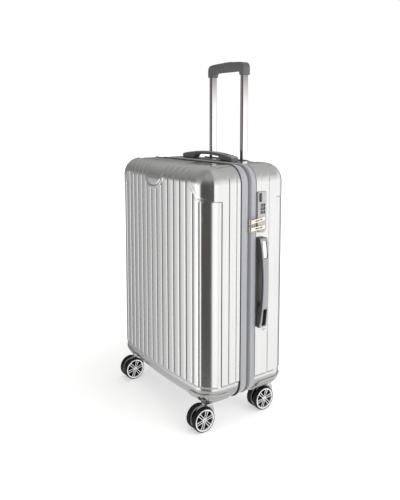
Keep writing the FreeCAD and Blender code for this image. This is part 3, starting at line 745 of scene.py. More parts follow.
def build_shells():
    """Both shells, with the openings for the trolley tray and the lock."""
    settle(shell_half("front_shell_skin", -1), "lid", "shell", "front_shell")
    back = shell_half("back_shell_skin", 1)
    tray = plate("tray_gap", (-95.4, 95.4, TUBE_Y - 20.3, TUBE_Y + 20.3, 12.2), "z", 621, 720, "shell")
    lock = plate("lock_gap", (26.3, 50.7, 500.8, 595.2, 1.0), "x", 200, 240, "shell")
    settle(cut_out(back, tray, lock), "case", "shell", "back_shell")


# ---------------------------------------------------------------- bands round the rim
def rim_path(inset, corner_steps=14, straight=12):
    """Rounded rectangle in XZ with outward normals, as (x, z, nx, nz) rows."""
    r = ROUND - inset
    x, z0, z1 = HALF_W - inset - r, BOTTOM + ROUND, TOP - ROUND
    rows = []
    for cx, cz, start, nxt in ((x, z1, 0, (-x, z1 + r)), (-x, z1, 90, (-x - r, z0)),
                               (-x, z0, 180, (x, z0 - r)), (x, z0, 270, (x + r, z1))):
        for a in np.radians(np.linspace(start, start + 90, corner_steps)):
            rows.append((cx + r * math.cos(a), cz + r * math.sin(a), math.cos(a), math.sin(a)))
        end = rows[-1]
        for t in np.linspace(0, 1, straight + 2)[1:-1]:
            rows.append((end[0] + (nxt[0] - end[0]) * t, end[1] + (nxt[1] - end[1]) * t, end[2], end[3]))
    return np.array(rows)


def rim_ring(name, section, material, inset=0.0):
    """Sweep a closed section of (y, outward) points round the rim."""
    path = rim_path(inset)
    points = []
    for x, z, nx, nz in path:
        points += [(x + nx * out, y, z + nz * out) for y, out in section]
    faces = loft(len(path), len(section), True)
    return shaded(tidy_mesh(new_piece(name, points, faces, material)), 50)


def band_section(y0, y1, rise, thick=1.2, lip=1.2, steps=8):
    """Slightly crowned strip of cloth with turned edges."""
    top = []
    for t in np.linspace(0, 1, steps):
        edge = min(t, 1 - t) * (y1 - y0)
        top.append((y0 + (y1 - y0) * t, rise * (1 - (2 * t - 1) ** 4) - max(0.0, lip - edge) * 0.35))
    return top + [(y1, -thick - 0.4), (y0, -thick - 0.4)]


def zip_teeth(name, side):
    """One row of coil teeth on each stretch of the rim that opens."""
    path = rim_path(0.6, 60, 400)
    xyz = path[:, :2]
    step = np.linalg.norm(np.roll(xyz, -1, 0) - xyz, axis=1)
    length = np.concatenate([[0], np.cumsum(step)])
    closed = np.vstack([path, path[:1]])
    count = int(length[-1] / TOOTH_PITCH)
    where = (np.arange(count) + (0.5 if side > 0 else 0.0)) * TOOTH_PITCH
    x, z, nx, nz = [np.interp(where, length, closed[:, c]) for c in range(4)]
    points, faces = [], []
    for px, pz, ax, az in zip(x, z, nx, nz):
        if px < -HALF_W + 8 and 130 < pz < 600:
            continue
        along = np.array([-az, 0, ax])
        out = np.array([ax, 0, az])
        base = np.array([px, ZIP_Y, pz])
        start = len(points)
        for depth, height in ((-0.25, 0.9), (0.7, 1.55), (1.9, 1.45), (3.0, 0.6)):
            for a in (-0.85, 0.85):
                points.append(base + along * a + out * (height - 1.0) + np.array([0, side * depth, 0]))
        for depth in (3.0, -0.25):
            for a in (-0.85, 0.85):
                points.append(base + along * a + out * (-1.6) + np.array([0, side * depth, 0]))
        rows = [(start + 2 * r, start + 2 * r + 1) for r in range(6)]
        for (a0, a1), (b0, b1) in zip(rows, rows[1:] + rows[:1]):
            faces.append((a0, a1, b1, b0))
        faces.append([r[0] for r in rows])
        faces.append([r[1] for r in rows][::-1])
    return tidy_mesh(new_piece(name, points, faces, "coil", smooth=False))


def build_zip():
    """Piping, bands, zip tapes and teeth of both halves."""
    piping = circle((-26.5, -0.1), 1.8, 12)
    settle(rim_ring("rim_piping", piping, "piping"), "lid", "piping", "front_piping")
    for end, body, y0, y1 in (("front", "lid", -24.7, -5.2), ("back", "case", 7.7, 22.6)):
        band = rim_ring(end + "_band", band_section(y0, y1, 0.5), "band", 1.2)
        settle(band, body, "zip_tape", end + "_zip_tape")
    for end, body, y0, y1 in (("front", "lid", -5.6, 0.7), ("back", "case", 1.3, 8.1)):
        strip = rim_ring(end + "_zip_strip", band_section(y0, y1, 0.0, 0.6, 0.4), "zip_cloth", 2.0)
        settle(strip, body, "zip_tape")
    for end, body, side in (("front", "lid", -1), ("back", "case", 1)):
        settle(zip_teeth(end + "_coil", side), body, "zip_teeth", end + "_zip_teeth")


# ---------------------------------------------------------------- casters
def tread_cut(x, r, step):
    """Two rings round the tread and cross cuts that are staggered from band to band."""
    if r <= TREAD_LOW:
        return 0.0
    ring = min(abs(x - TREAD_RING), abs(x + TREAD_RING)) < 0.5
    band = 0 if x < -TREAD_RING else 1 if x < TREAD_RING else 2
    return (0.7 if ring else 0.0) + (0.6 if (step + 3 * band) % 6 < 1 else 0.0)


def tyre_mesh(name):
    """Tyre of one wheel about X, with rounded shoulders."""
    half = WHEEL_W / 2
    profile = [(-half, RIM_R - 0.5), (-half, RIM_R + 0.1)]
    profile += arc_points((2.5 - half, 28.5), 2.5, 180, 90, 5)
    profile += [(x, WHEEL_R) for x in np.linspace(-half + 3.4, half - 3.4, 11)]
    profile += arc_points((half - 2.5, 28.5), 2.5, 90, 0, 5)
    profile += [(half, RIM_R + 0.1), (half, RIM_R - 0.5)]
    return shaded(turned(name, profile, "tyre", 120, tread_cut), 38)


def rim_spoke(turn, offset, face):
    """One thin spoke from the hub to the ring, offset sideways from its radius."""
    inner = 0.72 * offset
    outline = [(5.0, inner - 0.8), (25.6, offset - 1.05), (25.6, offset + 1.05), (5.0, inner + 0.8)]
    obj = slab("spoke", outline, "x", face - 2.6, face, "rim")
    obj.data.transform(Matrix.Translation(-Vector(to_frame([0, 0, 0]))))
    bevelled(obj, 0.45, 2)
    obj.data.transform(Matrix.Rotation(turn, 4, "X"))
    return obj


def rim_mesh(name):
    """Dished rim facing +X: outer ring, hub cap, pairs of thin spokes over a near-black disc of painted
    shade.
    """
    half = WHEEL_W / 2
    face = half - 0.4
    ring = turned("ring", [(-half + 0.3, RIM_R), (face - 0.6, RIM_R), (face + 0.3, RIM_R - 0.5),
                           (face + 0.45, RIM_R - 1.0), (face + 0.2, RIM_R - 3.2), (face - 0.6, RIM_R - 3.8),
                           (face - 3.4, RIM_R - 4.1), (-half + 0.3, RIM_R - 4.2)], "rim", 72)
    # painted shade: near-black disc behind the spokes
    well = turned("well", [(-half + 0.5, 3.2), (-half + 0.5, RIM_R - 3.5), (face - 5.0, RIM_R - 3.5),
                           (face - 5.0, 3.2)], "well", 72)
    hub = turned("hub", [(-half + 0.5, 3.1), (-half + 0.5, 5.5), (face - 1.2, 5.5), (face - 0.4, 5.2),
                         (face, 4.4), (face + 0.2, 3.1)], "rim", 40)
    cap = turned("cap", [(face - 2, 0.01), (face - 2, 3.0), (face + 0.4, 2.9), (face + 0.9, 2.0),
                         (face + 1.1, 0.01)], "steel", 32)
    parts = [*(shaded(part, 30) for part in (ring, well, hub)), cap]
    for k in range(6):
        for offset in (-3.3, 3.3):
            parts.append(rim_spoke(math.radians(60 * k + 12), offset, face - 0.3))
    return joined(name, parts)


def copy_of(obj, name, place, flip=False):
    """Another object on the same mesh, or on its mirror image."""
    key = obj.data.name + ("_far" if flip else "")
    mesh = obj.data
    if flip:
        mesh = bpy.data.meshes.get(key)
        if mesh is None:
            mesh = obj.data.copy()
            mesh.name = key
            mesh.transform(Matrix.Scale(-1, 4, (1, 0, 0)))
            mesh.flip_normals()
    made = placed(name, mesh)
    made.location = to_frame(place)
    return made


def caster_yoke(name, x, y):
    """Fork of one caster: a web between the wheels, widening to a collar under the housing."""
    half, top = 5.0, HOUSING_LOW - 0.4
    outline = [(y + 7.5, top), (y - 14, top)]
    outline += [(y + u, v) for u, v in ((-22, 59), (-27.5, 53.5), (-31, 44), (-31.4, WHEEL_R))]
    outline += [(y + u, v) for u, v in ((-29.5, 24), (-25, 20.2), (-19.4, 19), (-14, 20.5), (-9.4, 24.4))]
    outline += [(y + 7.5, 46)]
    web = slab("web", outline, "x", x - half, x + half, "fork", 1.3, 3)
    axle_y, clear = y - TRAIL, WHEEL_R + 1.5
    hood = arc_points((axle_y, WHEEL_R), clear, 74, 16, 12)
    nose = ((14.6, 41.0), (15.6, 46), (15.4, 52), (13.6, 57.5), (11.0, 60.8), (8.0, top))
    hood += [(y + u, v) for u, v in nose]
    shoulder = slab("shoulder", hood, "x", x - 10.5, x + 10.5, "fork", 1.1, 3)
    collar = slab("collar", circle((x, y), 11.6, 40), "z", 61.4, top + 0.1, "fork", 0.3, 2)
    pin = slab("pin", circle((x, y), 3.9, 24), "z", top, 80.0, "steel")
    return joined(name, [web, shoulder, collar, pin])


def caster_cup(name, x, y):
    """Round collar of the housing that takes the swivel pin."""
    ring = circle((x, y), 14.5, 60)
    return slab(name, ring, "z", HOUSING_LOW - 0.1, HOUSING_LOW + 4.0, "shell", 0.7, 3)


def pad_skin(name, end, hand):
    """Moulded corner housing over the shell, with a rounded outline."""
    side = -1 if end == "front" else 1
    shape = Tub(HALF_W, side * HALF_D, RIMS[side], BOTTOM, TOP, ROUND)
    xs = even_lines(PAD_X, HALF_W, 3.0)
    depths = even_lines(PAD_Y[side], HALF_D, 3.0)[::-1]
    zs = even_lines(BOTTOM, PAD_TOP, 3.0)
    quads = Quads()
    quads.patch(xs, zs, lambda u, v: (u, HALF_D, v))
    quads.patch(depths, zs, lambda u, v: (HALF_W, u, v))
    quads.patch(xs, depths, lambda u, v: (u, v, BOTTOM))
    flat = quads.points()
    # pull the free corners of the patch in, so that its outline is rounded
    for along, low in ((0, PAD_X), (1, PAD_Y[side])):
        u = PAD_CORNER - (flat[:, along] - low)
        v = PAD_CORNER - (PAD_TOP - flat[:, 2])
        near = (u > 0) & (v > 0) & (flat[:, 2] > BOTTOM)
        reach = np.hypot(u, v)
        scale = np.where(near & (reach > 1e-6), np.maximum(u, v) / np.maximum(reach, 1e-6), 1)
        flat[:, along] = np.where(near, low + PAD_CORNER - u * scale, flat[:, along])
        flat[:, 2] = np.where(near, PAD_TOP - PAD_CORNER + v * scale, flat[:, 2])
    flat *= (-1 if hand == "left" else 1, side, 1)
    place, normal = shape.surface(flat)
    lifted = place + normal * 2.1
    if side < 0:
        lifted = crown_shift(lifted)
    obj = tidy_mesh(thickened(tidy_mesh(new_piece(name, lifted, quads.faces, "shell")), 3.4))
    return bevelled(obj, 0.9, 3, 50, 60)


def build_casters():
    """Four casters with two wheels each, and the housings over them."""
    tyre = tyre_mesh("tyre_master")
    rim = rim_mesh("rim_master")
    for end, hand, (x, y) in CORNERS:
        name = end + "_" + hand
        body = name + "_caster"
        settle(caster_yoke(name + "_yoke", x, y), body, "grey_plastic", name + "_fork")
        x_side = math.copysign(1, x)
        for half, toward in (("inner", -x_side), ("outer", x_side)):
            place = (x + toward * (WHEEL_IN + WHEEL_W / 2), y - TRAIL, WHEEL_R)
            wheel = name + "_" + half
            settle(copy_of(tyre, wheel + "_rubber", place), wheel + "_wheel", "tyre", wheel + "_tyre")
            spokes = copy_of(rim, wheel + "_spokes", place, toward < 0)
            settle(spokes, wheel + "_wheel", "rim", wheel + "_rim")
        half_case = "lid" if end == "front" else "case"
        stood_for = [end + "_caster_housings"] if hand == "left" else []
        settle(pad_skin(name + "_pad", end, hand), half_case, "housing", *stood_for)
        settle(caster_cup(name + "_cup", x, y), half_case, "housing")
    bpy.data.objects.remove(tyre)
    bpy.data.objects.remove(rim)


# ---------------------------------------------------------------- trolley handle
def build_trolley():
    """Grip of the drawn handle and the button in it."""
    reach, y0, y1 = TUBE_X + 10.2, TUBE_Y - 12.6, TUBE_Y + 12.6
    outline = [(-reach, 897.0), (-reach, 916)]
    outline += arc_points((-reach + 15, 917), 15, 180, 100, 9)
    outline += [(x, 932.3 + 2.6 * (1 - (x / 68) ** 2)) for x in np.linspace(-60, 60, 13)]
    outline += arc_points((reach - 15, 917), 15, 80, 0, 9)
    outline += [(reach, 916), (reach, 897.0), (TUBE_X - 8.6, 897.0), (TUBE_X - 8.6, 900)]
    outline += arc_points((TUBE_X - 16.6, 901), 8, 0, 90, 6)
    outline += arc_points((-TUBE_X + 16.6, 901), 8, 90, 180, 6)
    outline += [(-TUBE_X + 8.6, 900), (-TUBE_X + 8.6, 897.0)]
    grip = slab("trolley_handle", outline, "y", y0, y1, "grip")
    cut_out(grip, plate("slot", (-17.4, 17.4, TUBE_Y - 5.9, TUBE_Y + 5.9, 5.6), "z", 923, 945, "grip"))
    settle(bevelled(grip, 3.4, 4, 35), "trolley_inner", "grey_plastic", "trolley_grip")
    key = (-17, 17, TUBE_Y - 5.5, TUBE_Y + 5.5, 5.4, 8)
    key = plate("grip_key", key, "z", 928, 936.3, "dark", 1.2, 3)
    settle(key, "grip_button", "dark_plastic", "grip_button")


def cut_out(obj, *tools):
    """Cut tools out of a piece, then remove them."""
    for tool in tools:
        modifier = obj.modifiers.new("cut", "BOOLEAN")
        modifier.operation = "DIFFERENCE"
        modifier.solver = "EXACT"
        modifier.object = tool
        bpy.context.view_layer.update()
        apply_modifiers(obj)
        bpy.data.objects.remove(tool)
    return obj


# ---------------------------------------------------------------- carry handles
def handle_heights(x):
    """Underside and top of a carry handle at a distance from its middle."""
    u = abs(x)
    top = 14.8 + 9.2 * (1 - (u / 111) ** 2) if u < 111 else 14.8 - 3.8 * ((u - 111) / 5) ** 2
    if u < 48:
        low = 14.6 - 2.6 * (u / 48) ** 2
    elif u <= 64:
        low = 12 * math.cos((u - 48) / 16 * math.pi / 2) + 0.5
    else:
        low = 0.5
    return low, max(top, low + 2)


def handle_half_width(x):
    """Half the width of a carry handle, wider at its ends."""
    return 9.0 + 4.3 * (x / GRIP_REACH) ** 2


def carry_handle(name, painted_shade_finish):
    """Waisted grip lying along X, with its foot on Z 0."""
    runs = [(-GRIP_REACH, -108, 6), (-108, -GRIP_FOOT, 12), (-GRIP_FOOT, -48, 9), (-48, 48, 25),
            (48, GRIP_FOOT, 9), (GRIP_FOOT, 108, 12), (108, GRIP_REACH, 6)]
    stations = sorted(set(np.round(np.concatenate([np.linspace(*run) for run in runs]), 2)))
    count = 24
    points = []
    for x in stations:
        low, top = handle_heights(x)
        half = handle_half_width(x)
        squeeze = 1 - 0.10 * max(0, (abs(x) - 112) / 4) ** 2
        for s in range(count):
            a = 2 * math.pi * (s + 0.5) / count
            cx, cz = math.cos(a), math.sin(a)
            power = 0.36
            u = math.copysign(abs(cx) ** power, cx) * half * squeeze
            v = math.copysign(abs(cz) ** power, cz)
            points.append((x, u, (low + top) / 2 + v * (top - low) / 2))
    faces = loft(len(stations), count)
    faces.append(tuple(range(count)))
    faces.append(tuple(range((len(stations) - 1) * count, len(stations) * count))[::-1])
    obj = tidy_mesh(new_piece(name, points, faces, "handle"))
    for side in (-1, 1):
        x0, x1 = sorted(side * x for x in GRIP_SLOT)
        cut_out(obj, plate("slot", (x0, x1, -6.4, 6.4, 2.2), "z", -3, 40, "handle"))
    bevelled(obj, 0.7, 2, 48, 45)
    # faces that don't face up take the darker copy: painted shade on the grip's sides and underside
    obj.data.materials.append(mats[painted_shade_finish])
    for face in obj.data.polygons:
        face.material_index = 0 if face.normal.z > 0.55 else 1
    return obj


def anchor_blocks(name, bright_end):
    """One bright chrome block flush with the grip and one dark block, deeper in its slot; the dark block's
    black is painted shade.
    """
    flush = [(66, 0.1), (110, 0.1), (110, 13.6), (88, 17.0), (66, 19.2)]
    deep = [(66, 0.1), (110, 0.1), (110, 9.0), (66, 11.0)]
    bright = slab("block", [(bright_end * x, z) for x, z in flush], "y", -6, 6, "chrome", 0.9, 3)
    # painted shade: this end's mount is drawn in black plastic to stand for shadow
    dark = slab("block", [(-bright_end * x, z) for x, z in deep], "y", -6, 6, "dark", 0.9, 3)
    return joined(name, [bright, dark])


def handle_bed(name):
    """Thin dark plate on the shell under a grip: painted shade, where the shell lies in the grip's shadow.
    """
    return plate(name, (-115.5, 115.5, -13.0, 13.0, 5.0), "z", -0.3, 0.42, "handle_side", 0.15, 2)


def stood_up(obj, side):
    """Move a handle part from the origin to the top of the case, or onto its side."""
    home = Matrix.Translation(-Vector(to_frame([0, 0, 0])))
    if side:
        place = Matrix.Translation(to_frame([HALF_W, HANDLE_Y, SIDE_HANDLE_Z]))
        place = place @ Matrix.Rotation(math.pi / 2, 4, "Y")
    else:
        place = Matrix.Translation(to_frame([0, HANDLE_Y, TOP]))
    obj.data.transform(place @ home)
    return obj


def build_handles():
    """Top and side carry handles with the dark plates of painted shade under them and their blocks."""
    for kind, side in (("top", False), ("side", True)):
        grip = stood_up(carry_handle(kind + "_grip", "handle_side" if side else "handle_flank"), side)
        settle(grip, kind + "_handle", "handle_plastic", kind + "_handle_grip")
    # dark plates under the grips: painted shade
    beds = joined("grip_beds", [stood_up(handle_bed("bed"), side) for side in (False, True)])
    settle(beds, "case", "dark_plastic")
    blocks = [stood_up(anchor_blocks("blocks", -1 if side else 1), side) for side in (False, True)]
    blocks = joined("anchor_blocks", blocks)
    settle(blocks, "case", "chrome", "handle_mounts")


# ---------------------------------------------------------------- zip sliders, pull tabs, lock
def build_pulls():
    """Two zip sliders and the tabs hung on their pins."""
    px, py = PULL_PIN
    sliders = []
    for z in SLIDERS:
        base = (py - 4.3, py + 4.3, z - 7.6, z + 7.6, 3.2)
        base = plate("base", base, "x", 222.7, 225.4, "gold", 0.9, 3)
        ears = [slab("ear", [(225.0, py - 2.4), (225.0, py + 2.4), (228.6, py + 1.9), (229.7, py + 0.8),
                             (229.7, py - 0.8), (228.6, py - 1.9)], "z", z + a, z + b, "gold", 0.4, 2)
                for a, b in ((4.85, 6.7), (-6.7, -4.85))]
        pin = slab("pin", arc_points((px, py), 0.93, 0, 345, 20), "z", z - 6.6, z + 6.6, "gold")
        sliders += [base, *ears, pin]
    settle(joined("slider_pair", sliders), "case", "gold_metal", "zip_sliders")
    for z, name, radius in ((SLIDERS[0], "upper", 4.3), (SLIDERS[1], "lower", 1.6)):
        outline = [(py - 0.2, z - 4.5), (14, z - 4.5)] if name == "upper" else [(py - 0.2, z - 4.5)]
        outline += arc_points((46.5 - radius, z - 4.5 + radius), radius, 270, 360, 8)
        outline += arc_points((46.5 - radius, z + 4.5 - radius), radius, 0, 90, 8)
        outline += [(py - 0.2, z + 4.5)]
        tab = slab(name + "_tab", outline, "x", px - 0.9, px + 0.9, "gold")
        cut_out(tab, plate("window", (14, 38, z - 1.7, z + 1.7, 1.65), "x", px - 3, px + 3, "gold"))
        bevelled(tab, 0.55, 3)
        pin_place = Vector(to_frame([px, py, z]))
        lift = math.radians(9.0 if name == "upper" else 5.0)
        tab.data.transform(Matrix.Translation(pin_place) @ Matrix.Rotation(lift, 4, "X")
                           @ Matrix.Translation(-pin_place))
        eye = slab("eye", circle((px, py), 1.9, 24), "z", z - 4.45, z + 4.45, "gold", 0.4, 2)
        settle(joined(name + "_puller", [tab, eye]), name + "_pull_tab", "gold_metal", name + "_pull_tab")


def digit(number, z):
    """One numeral bent round a dial."""
    curve = bpy.data.curves.new("digit", "FONT")
    curve.body = str(number)
    curve.size = DIGIT_H * MM
    curve.align_x, curve.align_y = "CENTER", "CENTER"
    curve.extrude = 0.06 * MM
    text = placed("digit", curve)
    bpy.context.view_layer.update()
    graph = bpy.context.evaluated_depsgraph_get()
    mesh = bpy.data.meshes.new_from_object(text.evaluated_get(graph))
    bpy.data.objects.remove(text)
    stand = Matrix.Rotation(math.pi / 2, 4, "Z") @ Matrix.Rotation(math.pi / 2, 4, "X")
    mesh.transform(Matrix.Translation((DIGIT_R * MM, 0, 0)) @ stand)
    for vertex in mesh.vertices:
        reach, bend = vertex.co.x, vertex.co.y / (DIGIT_R * MM)
        vertex.co.x, vertex.co.y = reach * math.cos(bend), reach * math.sin(bend)
    mesh.transform(Matrix.Rotation(math.radians(36 * number), 4, "Z"))
    mesh.transform(Matrix.Translation(to_frame([HALF_W + 4.9 - DIAL_R, 40.0, z])))
    mesh.materials.clear()
    mesh.materials.append(mats["digit"])
    return placed("digit", mesh)


def build_lock():
    """Numbers round the dials; the lock's own parts keep their CAD shape."""
    for name, z in DIALS:
        settle(joined(name + "_numbers", [digit(k, z) for k in range(10)]), name, "dial")


# ---------------------------------------------------------------- inside of the case
def lining_tub(name, side, far, material):
    """Cloth tub inside one half, with faint slack between its glued edges."""
    reach, low, high = HALF_W - LINING_INSET, BOTTOM + LINING_INSET, TOP - LINING_INSET
    edge_y = RIMS[side] + side * 0.6
    tub = Tub(reach, side * far, edge_y, low, high, ROUND - LINING_INSET)
    depths = even_lines(*sorted((side * far, edge_y)), 7)[::-side]
    points, faces = tub.grid(even_lines(-reach, reach, 12), depths, even_lines(low, high, 12))
    place, normal = tub.surface(points)
    x, y, z = place.T
    slack = 0.5 * np.sin(x / 37 + 1.3 * np.sin(z / 61)) * np.sin(z / 53 + 0.8 * np.sin(x / 44)) - 0.3
    edge = np.clip((np.abs(y - RIMS[side]) - 2) / 14, 0, 1)
    place = place + normal * (np.minimum(slack, 0.15) * edge)[:, None]
    if side < 0:
        place = crown_shift(place)
    obj = tidy_mesh(thickened(tidy_mesh(new_piece(name, place, faces, material)), CLOTH))
    return shaded(obj, 60)


def strap(name, a, b, y, half, thick):
    """Run of webbing between two (x, z) points, with turned edges."""
    a, b = np.array(a, float), np.array(b, float)
    along = (b - a) / np.linalg.norm(b - a)
    across = np.array([-along[1], along[0]])
    rows = 24
    points = []
    section = [(-half, 0.5), (-half + 0.8, 0.15), (half - 0.8, 0.15), (half, 0.5),
               (half, 0.9), (half - 0.8, 1.0), (-half + 0.8, 1.0), (-half, 0.9)]
    for r in range(rows + 1):
        middle = a + (b - a) * r / rows
        for offset, level in section:
            p = middle + across * offset
            points.append((p[0], y + level * thick, p[1]))
    n = len(section)
    faces = loft(rows + 1, n) + [tuple(range(n)), tuple(range(rows * n, (rows + 1) * n))[::-1]]
    return shaded(tidy_mesh(new_piece(name, points, faces, "webbing")), 60)


def divider(name):
    """Zipped divider of the lid: a lightly padded panel; pocket() makes its mesh pocket and zip."""
    reach, z0, z1, radius = HALF_W - 12.5, BOTTOM + 12.5, TOP - 12.5, ROUND - 12
    nx, nz = 44, 60
    xs, zs = np.linspace(-reach, reach, nx + 1), np.linspace(z0, z1, nz + 1)
    points = []
    for sheet in (0, 1):
        for z in zs:
            for x in xs:
                cx = np.clip(x, -reach + radius, reach - radius)
                cz = np.clip(z, z0 + radius, z1 - radius)
                dx, dz = x - cx, z - cz
                long, wide = math.hypot(dx, dz), max(abs(dx), abs(dz))
                scale = wide / long if long > 1e-6 and abs(dx) > 0 and abs(dz) > 0 else 1.0
                px, pz = cx + dx * scale, cz + dz * scale
                inward = min(reach - abs(px), pz - z0, z1 - pz)
                puff = ease(0, 26, max(inward, 0.0)) * (0.8 + 0.25 * math.sin(px / 41) * math.sin(pz / 57))
                y = -32.4 - 1.3 * puff if sheet == 0 else -31.2 + 0.3 * puff
                points.append((px, y, pz))
    row, layer = nx + 1, (nx + 1) * (nz + 1)
    front = loft(nz + 1, row, close_section=False)
    faces = front + [(layer + a, layer + d, layer + c, layer + b) for a, b, c, d in front]
    rim = list(range(nx)) + [j * row + nx for j in range(nz)]
    rim += [nz * row + i for i in range(nx, 0, -1)] + [j * row for j in range(nz, 0, -1)]
    faces += [(a, layer + a, layer + b, b) for a, b in zip(rim, rim[1:] + rim[:1])]
    return tidy_mesh(new_piece(name, points, faces, "lining"), 0.001)


def pocket(name):
    """Mesh pocket on the packing side of the divider, with a zip along its mouth."""
    outline = rounded_outline(-170, 170, 120, 470, 18)
    cloth = slab("cloth", outline, "y", -31.4, -30.2, "mesh", 0.5, 2)
    points = []
    for x, z in outline:
        inward = np.array([x, z - 295.0])
        inward = inward / np.linalg.norm(inward)
        for offset, y in ((3.0, -31.2), (3.0, -30.1), (-3.0, -30.0), (-3.0, -31.2)):
            points.append((x + inward[0] * offset, y, z + inward[1] * offset))
    binding = tidy_mesh(new_piece("binding", points, loft(len(outline), 4, True), "webbing"))
    tape = plate("zip_tape", (-160, 160, 442, 456, 2), "y", -30.9, -29.9, "zip_cloth", 0.3, 2)
    coil = plate("coil", (-158, 158, 447.4, 450.6, 1.5), "y", -30.4, -29.2, "coil", 0.5, 2)
    pull = plate("pull", (128, 150, 445.5, 452.5, 2.5), "y", -29.4, -28.6, "gold", 0.3, 2)
    return joined(name, [cloth, binding, tape, coil, pull])


def side_release_buckle(name):
    """Plastic buckle where the four runs of webbing meet."""
    middle = (BOTTOM + TOP) / 2
    body = plate("body", (-21, 21, middle - 15, middle + 15, 8), "y", 24.4, 30.6, "dark", 1.4, 3)
    prongs = [plate("prong", (x0, x1, middle - 7, middle + 7, 5), "y", 24.9, 30.0, "dark", 1.2, 3)
              for x0, x1 in ((-23, -8), (8, 23))]
    bars = [plate("bar", (-15, 15, z - 3, z + 3, 2.5), "y", 25.0, 29.6, "dark", 0.8, 2)
            for z in (middle - 18, middle + 18)]
    return joined(name, [body, *prongs, *bars])


def build_interior():
    """Linings, divider, pocket, packing straps and gusset."""
    front = lining_tub("front_lining_cloth", -1, 129.0, "lining")
    settle(front, "lid", "lining", "front_lining")
    back = lining_tub("back_lining_cloth", 1, 82.0, "lining")
    for x in (-180, 180):
        cut_out(back, slab("boss_gap", circle((x, 98.5), 12.5, 36), "z", 40, 86, "lining"))
    cut_out(back, plate("lock_room", (25.5, 51.5, 500, 596, 1), "x", 198, 245, "lining"))
    settle(back, "case", "lining", "back_lining")
    panel = settle(divider("divider_cloth"), "lid", "lining", "divider_panel")
    mesh_pocket = settle(pocket("divider_pocket"), "lid", "lining")
    middle = (BOTTOM + TOP) / 2
    corner = np.array([HALF_W - 26, TOP - 26 - middle])
    straps = []
    for sx, sz in ((1, 1), (-1, 1), (-1, -1), (1, -1)):
        way = corner * (sx, sz)
        way = way / np.linalg.norm(way)
        start = np.array([0, middle]) + way * 14
        end = np.array([0, middle]) + way * (np.linalg.norm(corner) - 12)
        straps.append(strap("run", start, end, 27.0, 12.5, 1.4))
    webbing = settle(joined("packing_webbing", straps), "case", "webbing", "packing_straps")
    settle(side_release_buckle("webbing_buckle"), "case", "dark_plastic", "strap_buckle")
    gusset = build_gusset()


def build_gusset():
    """Cloth hinge inside the closed side of the zip, folded when the case is shut."""
    rows, columns = 60, 12
    points = []
    for z in np.linspace(*GUSSET_Z, rows + 1):
        for t in np.linspace(0, 1, columns + 1):
            fold = 5.5 * math.sin(math.pi * t) ** 2 + 0.25 * math.sin(z / 23) * math.sin(2 * math.pi * t)
            points.append((GUSSET_X + fold, GUSSET_Y[0] + (GUSSET_Y[1] - GUSSET_Y[0]) * t, z))
    faces = loft(rows + 1, columns + 1, close_section=False)
    obj = thickened(new_piece("gusset_cloth", points, faces, "lining"), CLOTH)
    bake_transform(obj)
    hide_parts("hinge_gusset")
    return obj


# ---------------------------------------------------------------- stage, light, camera
def build_stage():
    """White floor that brightens into the backdrop away from the case."""
    n = Nodes("floor_paint")
    gradient = n.add("TexGradient", {"Vector": n.stretched((0.42, 0.42, 0.42))}, gradient_type="SPHERICAL")
    n.set(Base_Color=grey(0.9), Roughness=0.7, Emission_Color=grey(1.0))
    n.set(Emission_Strength=n.span(gradient.outputs["Fac"], 1.0, FLOOR_LIFT, 0.0, 0.85))
    corners = [(x * FLOOR_REACH, y * FLOOR_REACH, -0.05) for x, y in ((-1, -1), (1, -1), (1, 1), (-1, 1))]
    floor = new_piece("floor", corners, [(0, 1, 2, 3)], n.material)
    floor.visible_glossy = False


def build_world():
    """Studio round the case: white flats at the sides, a dark gap behind the camera, grey overhead."""
    scene.world = bpy.data.worlds.new("studio")
    n = Nodes("studio", scene.world)
    around = n.add("TexCoord").outputs["Generated"]
    turned_round = n.add("Mapping", {"Vector": around, "Rotation": (0, 0, math.pi)}).outputs["Vector"]
    bearing = n.add("TexGradient", {"Vector": turned_round}, gradient_type="RADIAL").outputs["Fac"]
    height = n.split(around)["Z"]
    colour = grey(FLOOR_GLOW)
    for low, high, stops in ((-0.70, -0.38, STUDIO_RING), (-0.01, 0.20, STUDIO_ABOVE),
                             (0.20, 0.60, STUDIO_HIGH)):
        step = n.span(height, 0.0, 1.0, low, high, interpolation_type="SMOOTHSTEP")
        colour = n.mix(step, colour, n.ring(bearing, stops))
    seen = n.add("LightPath").outputs["Is Camera Ray"]
    n.put(n.tree.nodes["Background"].inputs["Color"], n.mix(seen, colour, grey(1.0)))


def area_light(name, place, target, size, power):
    """Rectangular lamp that isn't mirrored in the case."""
    data = bpy.data.lights.new(name, "AREA")
    data.shape = "RECTANGLE"
    data.size, data.size_y = size
    data.energy = power
    lamp = placed(name, data)
    lamp.location = place
    lamp.rotation_euler = (Vector(target) - Vector(place)).to_track_quat("-Z", "Y").to_euler()
    lamp.visible_glossy = False


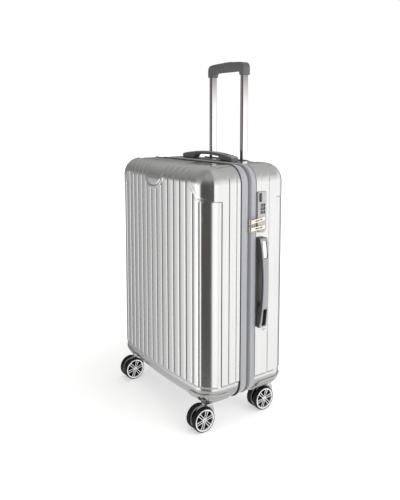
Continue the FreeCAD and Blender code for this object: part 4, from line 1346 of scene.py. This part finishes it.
def build_lights():
    """Soft light from above and from the lock side."""
    area_light("overhead_soft", (0.4, -0.3, 3.2), (0, 0, 0.2), (2.6, 2.6), 20)
    area_light("right_soft", (2.6, 0.9, 1.4), (0, 0, 0.45), (1.6, 2.2), 26)


def build_camera():
    """Camera at the picture's angle: 55 degrees round from the front, a little above the case."""
    data = bpy.data.cameras.new("camera")
    yaw, pitch = math.radians(55.0), math.radians(6.45)
    data.sensor_width = 36.0
    data.lens = 40.7808
    data.shift_y = -0.1338
    data.clip_end = 100
    camera = placed("camera", data)
    camera.location = Vector(to_frame([1286.0, -893.9, 777.6]))
    ahead = Vector((-math.sin(yaw) * math.cos(pitch), math.cos(yaw) * math.cos(pitch), -math.sin(pitch)))
    camera.rotation_euler = ahead.to_track_quat("-Z", "Y").to_euler()
    scene.camera = camera


CAD_FINISH = {
    "lock": ["lock_body", "emblem_plate"],
    "dark": ["lock_button", "trolley_foot", "grip_button", "strap_buckle"],
    "chrome": ["handle_mounts"], "dial": ["dial_top", "dial_middle", "dial_bottom"],
    "steel": ["key_cylinder", "trolley_outer_tubes", "handle_screws"],
    "gold": ["zip_sliders", "upper_pull_tab", "lower_pull_tab"],
    "tube": ["trolley_middle_tubes", "trolley_inner_tubes"],
    "tray": ["trolley_tray"], "grip": ["trolley_grip"],
    "handle": ["top_handle_grip", "side_handle_grip"], "webbing": ["packing_straps"],
    "lining": ["front_lining", "back_lining", "divider_panel", "hinge_gusset"],
    "shell": ["front_caster_housings", "rear_caster_housings"],
}


def finish_cad_nodes():
    """Give every CAD node that stays in view its material."""
    kinds = {node: kind for kind, nodes in CAD_FINISH.items() for node in nodes}
    for name, obj in frame["nodes"].items():
        kind = kinds.get(name)
        for ending in ("fork", "tyre", "rim"):
            if name.endswith("_" + ending):
                kind = ending
        if name.endswith("_axle"):
            kind = "steel"
        if kind:
            obj.data.materials.clear()
            obj.data.materials.append(mats[kind])


scene.view_settings.view_transform = "Standard"
build_camera()
build_stage()
build_world()
build_lights()
finish_cad_nodes()
build_shells()
build_zip()
build_casters()
build_trolley()
build_handles()
build_pulls()
build_lock()
build_interior()
